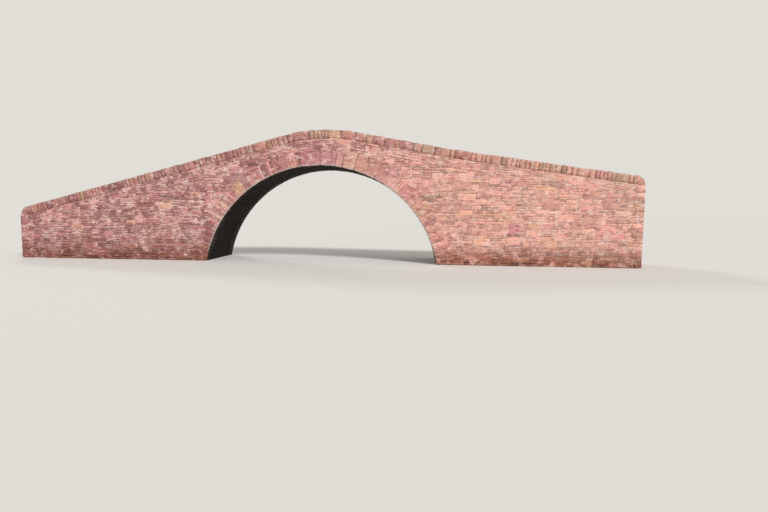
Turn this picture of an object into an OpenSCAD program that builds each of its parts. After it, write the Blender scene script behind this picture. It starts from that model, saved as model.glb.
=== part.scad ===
// Humped packhorse bridge of rubble stone: one segmental arch that springs from the base, a face ring
// on each side, side walls that run out as wing walls, a rubble core, a cobbled path over the top and two
// low parapets with a coping of stones on edge. X runs along the bridge, Y across it and Z up, in millimetres.
// Z = 0 is the base. The origin is the middle of the base.

/* [Arch] */
// Clear span of the arch between its feet
arch_span = 9400; // [8800:50:9800]
// Height of the underside of the arch at its crown above its feet
arch_rise = 3900; // [3600:50:4300]
// Depth of the arch, from its underside to its back
ring_depth = 560; // [480:10:580]
// How far the stones of a face ring reach into the bridge
ring_thickness = 400; // [250:10:600]
// Height of the springing course at each foot of the arch
springer_height = 300; // [200:10:450]

/* [Body] */
// Width of the bridge over both faces
bridge_width = 2860; // [2400:20:3600]
// Thickness of the side walls and parapets
wall_thickness = 400; // [300:10:500]
// Distance from the middle of the arch to the left end
left_reach = 12600; // [10500:100:14500]
// Distance from the middle of the arch to the right end
right_reach = 12600; // [10500:100:14500]
// Distance from the middle of the arch to where a side wall becomes a wing wall
wing_start = 5300; // [5280:10:6000]

/* [Path] */
// Bedding between the back of the arch and the cobbles at the crown
crown_cover = 110; // [110:10:250]
// Depth of the cobbles
path_depth = 90; // [60:5:150]

/* [Parapet] */
// Height of the parapet wall above the path
parapet_height = 290; // [200:10:500]
// Height of the coping stones
coping_height = 360; // [260:10:420]
// How much higher the coping is in its middle than at its two edges
coping_camber = 60; // [20:5:100]

/* [Profile] */
// Gradient of the left side, as rise over run
left_grade = 0.27; // [0.22:0.01:0.28]
// Gradient of the right side as far as the wing wall
right_grade = 0.175; // [0.14:0.005:0.24]
// Gradient of the right wing wall
right_wing_grade = 0.135; // [0.05:0.005:0.135]
// Radius of the top of the coping over the crown
crest_radius = 6800; // [6000:100:7200]
// How far the highest point lies to the right of the middle of the arch
crest_offset = 300; // [200:20:400]

/* [Hidden] */

// The intrados is the arc through both feet and the crown of the underside
half_span = arch_span / 2;
arch_radius = (half_span * half_span + arch_rise * arch_rise) / (2 * arch_rise);
arch_centre = [0, arch_rise - arch_radius];
back_radius = arch_radius + ring_depth;

// Depths below the top of the coping, measured square to it
parapet_top = coping_height;
path_top = parapet_top + parapet_height;
path_bottom = path_top + path_depth;

// The top of the coping is a straight grade, an arc over the crown, and two more straight grades
left_angle = atan(left_grade);
right_angle = atan(right_grade);
wing_angle = atan(right_wing_grade);
summit = arch_rise + ring_depth + crown_cover + path_bottom;
crest_centre = [crest_offset, summit - crest_radius];

arc_steps = 360;
end_steps = 96;
margin = 400;
SAND = "rosybrown";
RING = "darksalmon";
COPE = "tan";
FILL = "dimgray";
COBBLE = "gray";

// Unit vector square to a slope that falls to the right by an angle
function square_to(angle) = [sin(angle), cos(angle)];

// Point of the crest arc, at a depth below the coping's top, where the slope is an angle
function crest_point(angle, depth) = crest_centre + (crest_radius - depth) * square_to(angle);

// Point where the grades on either side of the crown would meet, if it weren't rounded
function crest_peak(depth) =
    crest_centre
    + (crest_radius - depth) / cos((left_angle + right_angle) / 2) * square_to((right_angle - left_angle) / 2);

// Heights of the three straight grades above the base, at a place and a depth
function left_line(x, depth) =
    crest_point(-left_angle, depth)[1] + (x - crest_point(-left_angle, depth)[0]) * left_grade;
function right_line(x, depth) =
    crest_point(right_angle, depth)[1] - (x - crest_point(right_angle, depth)[0]) * right_grade;
function wing_line(x, depth) =
    break_point(depth)[1] - (x - break_point(depth)[0]) * right_wing_grade;

// Point where the right side's two grades meet, on the mitre between them
function break_point(depth) =
    [wing_start, right_line(wing_start, 0)]
    - depth / cos((right_angle - wing_angle) / 2) * square_to((right_angle + wing_angle) / 2);

// Pivots of the rounded end stones: they stand on the parapet, one coping height in from each end
left_pivot = [coping_height - left_reach, left_line(coping_height - left_reach, parapet_top)];
right_pivot = [right_reach - coping_height, wing_line(right_reach - coping_height, parapet_top)];

// Draws an outline in X and Z as a solid from one Y to another
module across(y_from, y_to)
    translate([0, y_to, 0]) rotate([90, 0, 0]) linear_extrude(y_to - y_from) children();

// Draws its children in the front wall, or turned over into the back wall, which is the same
module in_wall(side)
    translate([0, side * (bridge_width - wall_thickness) / 2, 0]) children();

// An outline in X and Z, as thick as a side wall
module wall_slab(side)
    in_wall(side) across(-wall_thickness / 2, wall_thickness / 2) children();

// An outline in X and Z that fills the bridge between its side walls
module between_walls()
    across(wall_thickness - bridge_width / 2, bridge_width / 2 - wall_thickness) children();

// Everything above the base from one X to another
module stretch(x_from, x_to)
    translate([x_from, 0]) square([x_to - x_from, summit + margin]);

// Outline of all that lies under the line at a depth below the coping's top
module under_line(depth) {
    left_tangent = crest_point(-left_angle, depth);
    right_tangent = crest_point(right_angle, depth);
    peak = crest_peak(depth);
    difference() {
        polygon([
            [-left_reach, 0],
            [-left_reach, left_line(-left_reach, depth)],
            peak,
            break_point(depth),
            [right_reach, wing_line(right_reach, depth)],
            [right_reach, 0]
        ]);
        difference() {
            polygon([left_tangent, peak + [0, margin], right_tangent]);
            translate(crest_centre) circle(r = crest_radius - depth, $fn = arc_steps);
        }
    }
}

// Disc in X and Z about the arch's centre
module arch_disc(radius)
    translate(arch_centre) circle(r = radius, $fn = arc_steps);

// The arch in section, from its foot at the base to its crown
module arch_section()
    difference() {
        arch_disc(back_radius);
        arch_disc(arch_radius);
    }

// Sweeps a section about the Y axis, from one angle above the horizontal to another
module swept(from_angle, to_angle, steps)
    rotate([90, 0, 0])
        rotate([0, 0, from_angle])
            rotate_extrude(angle = to_angle - from_angle, $fn = steps)
                children();

// A layer of the crown between two depths and as wide as given, swept about the centre of the crest
module crown_layer(width, depth_from, depth_to)
    translate([crest_centre[0], 0, crest_centre[1]])
        swept(90 - right_angle, 90 + left_angle, arc_steps)
            translate([crest_radius - depth_to, -width / 2])
                square([depth_to - depth_from, width]);

// Section of the coping across the wall, with its foot on the X axis and a low round top
module coping_section() {
    round_radius = (pow(wall_thickness / 2, 2) + pow(coping_camber, 2)) / (2 * coping_camber);
    intersection() {
        translate([-wall_thickness / 2, 0]) square([wall_thickness, coping_height]);
        translate([0, coping_height - round_radius]) circle(r = round_radius, $fn = arc_steps);
    }
}

// The coping's section swept about the Y axis, with its foot at a radius
module coping_wheel(foot_radius, from_angle, to_angle, steps)
    swept(from_angle, to_angle, steps)
        translate([foot_radius, 0])
            rotate(-90)
                coping_section();

// The coping's section run along the line between two points in X and Z, with a spare length at each end
module coping_run(start, finish, spare_start = 0, spare_finish = 0) {
    run = finish - start;
    rise_angle = atan2(run[1], run[0]);
    translate([start[0], 0, start[1]])
        rotate([0, -rise_angle, 0])
            translate([-spare_start, 0, 0])
                rotate([90, 0, 90])
                    linear_extrude(norm(run) + spare_start + spare_finish)
                        coping_section();
}

// Half of space on one side of the mitre where the right side's grades meet: -1 is left of it and 1 right
module beside_mitre(side)
    translate([break_point(0)[0], 0, break_point(0)[1]])
        rotate([0, (right_angle + wing_angle) / 2, 0])
            translate([side * 3 * right_reach / 2, 0, 0])
                cube([3 * right_reach, 2 * bridge_width, 3 * right_reach], center = true);

// The arch above its springing courses
module arch_above_springers()
    intersection() {
        arch_section();
        translate([-back_radius, springer_height]) square([2 * back_radius, back_radius]);
    }

// The vault between the two face rings
module arch_barrel()
    color(SAND)
        across(ring_thickness - bridge_width / 2, bridge_width / 2 - ring_thickness)
            arch_above_springers();

// The ring of voussoirs on one face
module arch_ring(side)
    color(RING)
        translate([0, side * (bridge_width - ring_thickness) / 2, 0])
            across(-ring_thickness / 2, ring_thickness / 2)
                arch_above_springers();

// The lowest course of the arch at one foot, through the whole width
module springing_course(hand)
    color(RING)
        across(-bridge_width / 2, bridge_width / 2)
            intersection() {
                arch_section();
                translate([(hand - 1) / 2 * back_radius, 0]) square([back_radius, springer_height]);
            }

// What lies between two places, under a line at a depth, and behind the arch
module mass_outline(x_from, x_to, depth)
    difference() {
        intersection() {
            under_line(depth);
            stretch(x_from, x_to);
        }
        arch_disc(back_radius);
    }

// A side wall from one place to another, up to the path
module side_wall(side, x_from, x_to)
    color(SAND) wall_slab(side) mass_outline(x_from, x_to, path_top);

// The wall that closes the bridge at one end, under the path
module end_wall(x_from)
    color(SAND) between_walls() mass_outline(x_from, x_from + wall_thickness, path_bottom);

// The rubble core between the side walls, under the path
module core(x_from, x_to)
    color(FILL) between_walls() mass_outline(x_from, x_to, path_bottom);

// The straight layer of the left side between two depths
module left_layer(depth_from, depth_to)
    polygon([
        [-left_reach, left_line(-left_reach, depth_from)],
        crest_point(-left_angle, depth_from),
        crest_point(-left_angle, depth_to),
        [-left_reach, left_line(-left_reach, depth_to)]
    ]);

// The straight layer between the crown and the right wing
module right_layer(depth_from, depth_to)
    polygon([
        crest_point(right_angle, depth_from),
        break_point(depth_from),
        break_point(depth_to),
        crest_point(right_angle, depth_to)
    ]);

// The straight layer along the right wing
module right_wing_layer(depth_from, depth_to)
    polygon([
        break_point(depth_from),
        [right_reach, wing_line(right_reach, depth_from)],
        [right_reach, wing_line(right_reach, depth_to)],
        break_point(depth_to)
    ]);

// The cobbled path, stretch by stretch
module left_path()
    color(COBBLE) between_walls() left_layer(path_top, path_bottom);

module crown_path()
    color(COBBLE) crown_layer(bridge_width - 2 * wall_thickness, path_top, path_bottom);

module right_path()
    color(COBBLE) between_walls() right_layer(path_top, path_bottom);

module right_wing_path()
    color(COBBLE) between_walls() right_wing_layer(path_top, path_bottom);

// The parapet walls, each level at its outer end, under the end stone
module left_parapet(side)
    color(SAND)
        wall_slab(side)
            polygon([
                [-left_reach, left_pivot[1]],
                left_pivot,
                crest_point(-left_angle, parapet_top),
                crest_point(-left_angle, path_top),
                [-left_reach, left_line(-left_reach, path_top)]
            ]);

module crown_parapet(side)
    color(SAND) in_wall(side) crown_layer(wall_thickness, parapet_top, path_top);

module right_parapet(side)
    color(SAND) wall_slab(side) right_layer(parapet_top, path_top);

module right_wing_parapet(side)
    color(SAND)
        wall_slab(side)
            polygon([
                break_point(parapet_top),
                right_pivot,
                [right_reach, right_pivot[1]],
                [right_reach, wing_line(right_reach, path_top)],
                break_point(path_top)
            ]);

// The coping, stretch by stretch
module left_coping(side)
    color(COPE) in_wall(side) coping_run(left_pivot, crest_point(-left_angle, parapet_top));

module crown_coping(side)
    color(COPE)
        in_wall(side)
            translate([crest_centre[0], 0, crest_centre[1]])
                coping_wheel(crest_radius - parapet_top, 90 - right_angle, 90 + left_angle, arc_steps);

module right_coping(side)
    color(COPE)
        in_wall(side)
            intersection() {
                coping_run(crest_point(right_angle, parapet_top), break_point(parapet_top), 0, margin);
                beside_mitre(-1);
            }

module right_wing_coping(side)
    color(COPE)
        in_wall(side)
            intersection() {
                coping_run(break_point(parapet_top), right_pivot, margin, 0);
                beside_mitre(1);
            }

// The rounded stones that end each coping
module left_end_stone(side)
    color(COPE)
        in_wall(side)
            translate([left_pivot[0], 0, left_pivot[1]])
                coping_wheel(0, 90 + left_angle, 180, end_steps);

module right_end_stone(side)
    color(COPE)
        in_wall(side)
            translate([right_pivot[0], 0, right_pivot[1]])
                coping_wheel(0, 0, 90 - wing_angle, end_steps);

// Moves the middle of the arch so that the origin is midway between the two ends
module placed()
    translate([(left_reach - right_reach) / 2, 0, 0]) children();

FRONT = -1;
BACK = 1;
LEFT = -1;
RIGHT = 1;

placed() arch_barrel();
placed() arch_ring(FRONT);  // front_arch_ring
placed() arch_ring(BACK);  // back_arch_ring
placed() springing_course(LEFT);  // left_springing_course
placed() springing_course(RIGHT);  // right_springing_course
placed() side_wall(FRONT, -wing_start, 0);  // front_left_spandrel_wall
placed() side_wall(FRONT, 0, wing_start);  // front_right_spandrel_wall
placed() side_wall(BACK, -wing_start, 0);  // back_left_spandrel_wall
placed() side_wall(BACK, 0, wing_start);  // back_right_spandrel_wall
placed() side_wall(FRONT, -left_reach, -wing_start);  // front_left_wing_wall
placed() side_wall(FRONT, wing_start, right_reach);  // front_right_wing_wall
placed() side_wall(BACK, -left_reach, -wing_start);  // back_left_wing_wall
placed() side_wall(BACK, wing_start, right_reach);  // back_right_wing_wall
placed() end_wall(-left_reach);  // left_end_wall
placed() end_wall(right_reach - wall_thickness);  // right_end_wall
placed() core(-wing_start, 0);  // left_haunching
placed() core(0, wing_start);  // right_haunching
placed() core(wall_thickness - left_reach, -wing_start);  // left_approach_fill
placed() core(wing_start, right_reach - wall_thickness);  // right_approach_fill
placed() left_path();
placed() crown_path();
placed() right_path();
placed() right_wing_path();
placed() left_parapet(FRONT);  // front_left_parapet
placed() crown_parapet(FRONT);  // front_crown_parapet
placed() right_parapet(FRONT);  // front_right_parapet
placed() right_wing_parapet(FRONT);  // front_right_wing_parapet
placed() left_parapet(BACK);  // back_left_parapet
placed() crown_parapet(BACK);  // back_crown_parapet
placed() right_parapet(BACK);  // back_right_parapet
placed() right_wing_parapet(BACK);  // back_right_wing_parapet
placed() left_coping(FRONT);  // front_left_coping
placed() crown_coping(FRONT);  // front_crown_coping
placed() right_coping(FRONT);  // front_right_coping
placed() right_wing_coping(FRONT);  // front_right_wing_coping
placed() left_coping(BACK);  // back_left_coping
placed() crown_coping(BACK);  // back_crown_coping
placed() right_coping(BACK);  // back_right_coping
placed() right_wing_coping(BACK);  // back_right_wing_coping
placed() left_end_stone(FRONT);  // front_left_end_stone
placed() right_end_stone(FRONT);  // front_right_end_stone
placed() left_end_stone(BACK);  // back_left_end_stone
placed() right_end_stone(BACK);  // back_right_end_stone
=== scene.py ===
"""Dresses a packhorse bridge: the stones of its walls, arch, coping and path, set in lime mortar."""

import logging
import math
from dataclasses import dataclass, field
from enum import Enum
from typing import Any, Iterator, Sequence

import bmesh
import bpy
import numpy as np
from mathutils import Matrix, Vector


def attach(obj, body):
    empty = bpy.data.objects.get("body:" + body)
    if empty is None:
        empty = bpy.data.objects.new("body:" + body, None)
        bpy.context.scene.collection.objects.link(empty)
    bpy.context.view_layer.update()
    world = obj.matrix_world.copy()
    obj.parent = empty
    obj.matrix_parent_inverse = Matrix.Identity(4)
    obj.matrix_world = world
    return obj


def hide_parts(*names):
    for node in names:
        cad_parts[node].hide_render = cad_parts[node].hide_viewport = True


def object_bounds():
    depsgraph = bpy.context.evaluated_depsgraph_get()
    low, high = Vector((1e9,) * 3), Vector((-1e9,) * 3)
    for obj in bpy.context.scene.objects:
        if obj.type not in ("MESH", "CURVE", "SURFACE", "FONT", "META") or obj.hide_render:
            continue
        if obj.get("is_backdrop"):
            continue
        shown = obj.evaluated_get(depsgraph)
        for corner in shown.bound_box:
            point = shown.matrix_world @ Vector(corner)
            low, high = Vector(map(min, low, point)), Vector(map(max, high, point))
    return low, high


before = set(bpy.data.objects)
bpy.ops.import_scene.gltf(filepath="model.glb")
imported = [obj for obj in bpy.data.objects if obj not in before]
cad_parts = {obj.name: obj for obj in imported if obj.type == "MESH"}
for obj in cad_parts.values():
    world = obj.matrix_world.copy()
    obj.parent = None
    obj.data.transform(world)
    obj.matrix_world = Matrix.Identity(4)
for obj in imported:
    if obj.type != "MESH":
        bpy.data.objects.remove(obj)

LOG = logging.getLogger("packhorse_bridge")
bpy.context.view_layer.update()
BODY = "root"
MM = 0.001
Socket = bpy.types.NodeSocket
Outline = np.ndarray
Chance = np.random.Generator
# Two numbers, such as the lowest and the highest value of a size that varies
Pair = tuple[float, float]


class Side(Enum):
    """The two long faces of the bridge, by the sign of their Y."""

    FRONT = -1
    BACK = 1


class Hand(Enum):
    """The two ends of the bridge, by the sign of their X."""

    LEFT = -1
    RIGHT = 1

    @classmethod
    def at(cls, x: float) -> "Hand":
        """Gives the end that a place along the bridge is nearer to."""
        return cls.LEFT if x < 0 else cls.RIGHT


class Slot(Enum):
    """The material slots of the part's record."""

    WALL = "wall_sandstone"
    ARCH = "arch_sandstone"
    COPING = "coping_sandstone"
    CORE = "rubble_core"
    PATH = "path_cobbles"


def linear(hex_code: str) -> tuple[float, float, float, float]:
    """Turns a colour from sRGB to the linear values that a shader takes.

    Args:
        hex_code: The colour as "#rrggbb".

    Returns:
        Red, green and blue, and an alpha of 1.
    """
    shares = [int(hex_code[i:i + 2], 16) / 255 for i in (1, 3, 5)]
    red, green, blue = (s / 12.92 if s <= 0.04045 else ((s + 0.055) / 1.055) ** 2.4 for s in shares)
    return red, green, blue, 1.0


def add_node(
    tree: bpy.types.NodeTree, kind: str, inputs: dict[Any, Any] | None = None, **settings: Any
) -> bpy.types.Node:
    """Adds a node to a tree, with its settings, its values and its links.

    Args:
        tree: The shader or geometry tree.
        kind: The node's type.
        inputs: For an input's name or number, its value or the output that feeds it.
        **settings: The node's own properties.

    Returns:
        The new node.
    """
    node = tree.nodes.new(kind)
    for name, value in settings.items():
        setattr(node, name, value)
    for key, value in (inputs or {}).items():
        if isinstance(value, Socket):
            tree.links.new(value, node.inputs[key])
        else:
            node.inputs[key].default_value = value
    return node


def add_object(name: str, data: bpy.types.ID) -> bpy.types.Object:
    """Adds an object to the scene.

    Args:
        name: The object's name.
        data: Its mesh, light or camera.

    Returns:
        The object.
    """
    thing = bpy.data.objects.new(name, data)
    bpy.context.scene.collection.objects.link(thing)
    return thing


@dataclass
class Piece:
    """A finished piece of the bridge, its material slot and the CAD nodes that it stands for."""

    thing: bpy.types.Object
    slot: Slot
    stands_for: tuple[str, ...] = ()


@dataclass(frozen=True)
class BridgeSize:
    """The bridge's driving dimensions, in metres, and the lines and arcs that follow from them.

    The middle of the arch is at X = 0, the base at Z = 0, and both faces are equally far from Y = 0.
    A depth is measured downwards from the top of the coping, square to it.
    """

    half_length: float
    half_width: float
    summit: float
    half_span: float = 4.7
    arch_rise: float = 3.9
    ring_depth: float = 0.56
    ring_thickness: float = 0.4
    springer_height: float = 0.3
    wall_thickness: float = 0.4
    wing_start: float = 5.3
    coping_height: float = 0.36
    parapet_height: float = 0.29
    left_grade: float = 0.27
    right_grade: float = 0.175
    wing_grade: float = 0.135
    crest_radius: float = 6.8
    crest_offset: float = 0.3

    @classmethod
    def from_frame(cls) -> "BridgeSize":
        """Takes the length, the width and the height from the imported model."""
        _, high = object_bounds()
        return cls(half_length=high[0], half_width=high[1], summit=high[2])

    @property
    def arch_radius(self) -> float:
        """Radius of the underside of the arch."""
        return (self.half_span**2 + self.arch_rise**2) / (2 * self.arch_rise)

    @property
    def arch_centre(self) -> float:
        """Height of the arch's centre, which is below the base."""
        return self.arch_rise - self.arch_radius

    @property
    def springing(self) -> float:
        """Angle of the arch's right foot, seen from its centre, in radians above the horizontal."""
        return math.asin(-self.arch_centre / self.arch_radius)

    @property
    def path_depth(self) -> float:
        """Depth of the path's surface."""
        return self.coping_height + self.parapet_height

    @property
    def clear_half_width(self) -> float:
        """Half the width between the parapets."""
        return self.half_width - self.wall_thickness

    @property
    def parapet_middle(self) -> float:
        """Distance of the middle of a parapet from Y = 0."""
        return self.half_width - self.wall_thickness / 2

    def on_arch(self, radius: float, angle: float) -> np.ndarray:
        """Gives the X and Z of a point at a radius and an angle about the arch's centre."""
        return np.array([radius * math.cos(angle), self.arch_centre + radius * math.sin(angle)])

    def line(self, x: np.ndarray | float, depth: float = 0.0) -> np.ndarray:
        """Finds the height of the line that follows the coping at a depth.

        Args:
            x: Places along the bridge.
            depth: Depth of the line.

        Returns:
            The line's height at each place.
        """
        x = np.asarray(x, float)
        radius = self.crest_radius - depth
        centre = self.summit - self.crest_radius
        left, right, wing = (math.atan(g) for g in (self.left_grade, self.right_grade, self.wing_grade))
        left_x = self.crest_offset - radius * math.sin(left)
        right_x = self.crest_offset + radius * math.sin(right)
        on_left = centre + radius * math.cos(left) + (x - left_x) * self.left_grade
        on_crest = centre + np.sqrt(np.maximum(radius**2 - (x - self.crest_offset) ** 2, 0.0))
        on_right = centre + radius * math.cos(right) - (x - right_x) * self.right_grade
        reach = self.wing_start - self.crest_offset - self.crest_radius * math.sin(right)
        break_top = centre + self.crest_radius * math.cos(right) - reach * self.right_grade
        mitre = depth / math.cos((right - wing) / 2)
        break_x = self.wing_start - mitre * math.sin((right + wing) / 2)
        break_z = break_top - mitre * math.cos((right + wing) / 2)
        on_wing = break_z - (x - break_x) * self.wing_grade
        return np.select([x < left_x, x < right_x, x < break_x], [on_left, on_crest, on_right], on_wing)

    def slope(self, x: float, depth: float = 0.0, step: float = 0.01) -> float:
        """Angle at which the line at a depth climbs to the right, in radians."""
        rise = float(self.line(x + step, depth) - self.line(x - step, depth))
        return math.atan2(rise, 2 * step)

    def under_coping(self, x: float, depth: float) -> np.ndarray:
        """Gives the X and Z of the point that lies square below the coping's top at a place."""
        turn = self.slope(x)
        return np.array([x + depth * math.sin(turn), float(self.line(x)) - depth * math.cos(turn)])

    def pivot(self, hand: Hand) -> np.ndarray:
        """Gives the X and Z about which a coping's rounded end turns, on top of the parapet."""
        x = hand.value * (self.half_length - self.coping_height)
        return np.array([x, float(self.line(x, self.coping_height))])


@dataclass
class Stone:
    """One stone that is laid in a face: its outline there, its colour and how far it stands out."""

    outline: Outline
    tint: float
    tone: float
    proud: float


@dataclass
class Block:
    """One stone that is set by itself: its middle, turn, size and colour."""

    middle: Sequence[float]
    turn: Sequence[float]
    size: Sequence[float]
    tint: float
    tone: float


@dataclass(frozen=True)
class Face:
    """A flat face on which stones are laid: where an outline's first axis and its normal point.

    The outline's second axis is Z, and embedded is how far inside the face a stone starts.
    """

    along: tuple[float, float, float]
    outward: tuple[float, float, float]
    distance: float
    embedded: float = 0.006

    @classmethod
    def of_side(cls, y: float, outwards: int, embedded: float = 0.006) -> "Face":
        """Makes a face along the bridge at a Y, which looks to the front (-1) or the back (1)."""
        return cls((1.0, 0.0, 0.0), (0.0, float(outwards), 0.0), y * outwards, embedded)

    @classmethod
    def of_end(cls, hand: Hand, size: BridgeSize) -> "Face":
        """Makes the face across one end of the bridge."""
        return cls((0.0, 1.0, 0.0), (float(hand.value), 0.0, 0.0), size.half_length)

    def place(self, outline: Outline) -> np.ndarray:
        """Puts an outline's points in space, at the back of its stone."""
        flat = outline[:, :1] * np.array(self.along) + outline[:, 1:] * np.array([0.0, 0.0, 1.0])
        return flat + np.array(self.outward) * (self.distance - self.embedded)

    def directions(self, middle: np.ndarray) -> tuple[np.ndarray, np.ndarray]:
        """Gives the directions outwards and along the face at a stone."""
        return np.array(self.outward), np.array(self.along)


@dataclass(frozen=True)
class VaultFace:
    """The underside of the arch, whose outlines have Y and the length round the arch as their axes.

    The length is measured from the right foot, and embedded is how far inside a stone starts.
    """

    size: BridgeSize
    embedded: float = 0.02

    def place(self, outline: Outline) -> np.ndarray:
        """Bends an outline round the arch, at the back of its stone.

        Args:
            outline: The outline.

        Returns:
            Its points in space.
        """
        angles = self.size.springing + outline[:, 1] / self.size.arch_radius
        radius = self.size.arch_radius + self.embedded
        rise = self.size.arch_centre + radius * np.sin(angles)
        return np.column_stack([radius * np.cos(angles), outline[:, 0], rise])

    def directions(self, middle: np.ndarray) -> tuple[np.ndarray, np.ndarray]:
        """Gives the directions towards the arch's centre and along Y."""
        angle = self.size.springing + middle[1] / self.size.arch_radius
        return np.array([-math.cos(angle), 0.0, -math.sin(angle)]), np.array([0.0, 1.0, 0.0])


def clip(outline: Outline, point: Sequence[float], keep: Sequence[float]) -> Outline:
    """Cuts a convex outline along a line.

    Args:
        outline: The outline's points.
        point: A point on the line.
        keep: A vector square to the line, towards the side that stays.

    Returns:
        What stays of the outline. It has no points where nothing does.
    """
    if not len(outline):
        return outline
    heights = (outline - np.asarray(point)) @ np.asarray(keep)
    points = []
    for i, (here, height) in enumerate(zip(outline, heights)):
        after = (i + 1) % len(outline)
        if height >= 0:
            points.append(here)
        if (height >= 0) != (heights[after] >= 0):
            share = height / (height - heights[after])
            points.append(here + share * (outline[after] - here))
    return np.array(points).reshape(-1, 2)


def towards_right(x: float, middle: float = 1.2, reach: float = 2.5) -> float:
    """Tells, from 0 to 1, how far the masonry at a place has changed from the left's to the right's."""
    return 0.5 + 0.5 * math.tanh((x - middle) / reach)


def shared_out(start: float, end: float, length: Pair, rng: Chance) -> Iterator[Pair]:
    """Shares out a stretch among stones, and leaves no sliver at its end.

    Args:
        start: Where the stretch starts.
        end: Where it ends.
        length: The least and the greatest length of a stone, with its joints.
        rng: The source of chance.

    Yields:
        Where each stone starts and ends.
    """
    while start < end:
        after = start + rng.uniform(*length)
        if end - after < length[0] / 2:
            after = end
        yield start, after
        start = after


def worth_laying(outline: Outline, least: float = 0.022) -> bool:
    """Tells whether an outline is at least so wide and high, in metres, that it makes a stone."""
    return len(outline) > 2 and bool((np.ptp(outline, axis=0) > least).all())


def knapped(
    corners: Outline, corner: float, unevenness: float, rng: Chance, most: float = 0.026
) -> Outline:
    """Knocks the corners off an outline and makes its edges uneven.

    Args:
        corners: The outline's corners.
        corner: How much of the shortest side a cut corner takes, at most.
        unevenness: How far a point moves inwards along each axis, at most, in metres.
        rng: The source of chance.
        most: The longest that a cut corner gets, in metres.

    Returns:
        The new outline, with two points for each corner.
    """
    middle = corners.mean(0)
    sides = np.linalg.norm(np.roll(corners, -1, axis=0) - corners, axis=1)
    points = []
    for i, here in enumerate(corners):
        for other in (corners[i - 1], corners[(i + 1) % len(corners)]):
            way = other - here
            length = float(np.linalg.norm(way))
            # Two cuts on one side never meet
            step = min(sides.min() * corner * rng.uniform(0.3, 1.0), most, 0.42 * length)
            shift = np.sign(middle - here) * rng.uniform(0, unevenness, 2)
            points.append(here + way / length * step + shift)
    return np.array(points)


@dataclass(frozen=True)
class BigStone:
    """A large stone that stands out in a wall: its middle, size, place in the palette and brightness."""

    x: float
    middle: float
    length: float
    height: float
    tint: float
    tone: float = 1.0


@dataclass
class Beds:
    """The beds between courses: their heights, how each wanders, and the chance that lays what is between.

    The wander dies out towards both ends, so that courses meet at the corners.
    """

    heights: np.ndarray
    start: float
    end: float
    waves: np.ndarray
    rng: Chance
    least_reach: float = 0.3
    wavelength: Pair = (1.0, 3.4)
    fade: float = 1.5

    @classmethod
    def drawn(
        cls, heights: np.ndarray, start: float, end: float, rng: Chance, reach: float = 0.020
    ) -> "Beds":
        """Draws the wander of each bed but the lowest.

        Args:
            heights: Heights of the beds where they don't wander.
            start: Where the courses start.
            end: Where they end.
            rng: The source of chance.
            reach: How far a bed wanders up or down, at most.

        Returns:
            The beds.
        """
        count = len(heights)
        reaches = rng.uniform(cls.least_reach, 1.0, count) * reach
        reaches[0] = 0.0
        lengths = rng.uniform(*cls.wavelength, count)
        waves = np.column_stack([reaches, lengths, rng.uniform(0, 2 * math.pi, count)])
        return cls(heights, start, end, waves, rng)

    def at(self, bed: int, x: float) -> float:
        """Height of a bed at a place.

        Args:
            bed: The bed's number.
            x: The place along the wall.

        Returns:
            The height.
        """
        reach, length, phase = self.waves[bed]
        fade = min(1.0, max(0.0, min(x - self.start, self.end - x) / self.fade))
        return float(self.heights[bed] + fade * reach * math.sin(2 * math.pi * x / length + phase))


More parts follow.
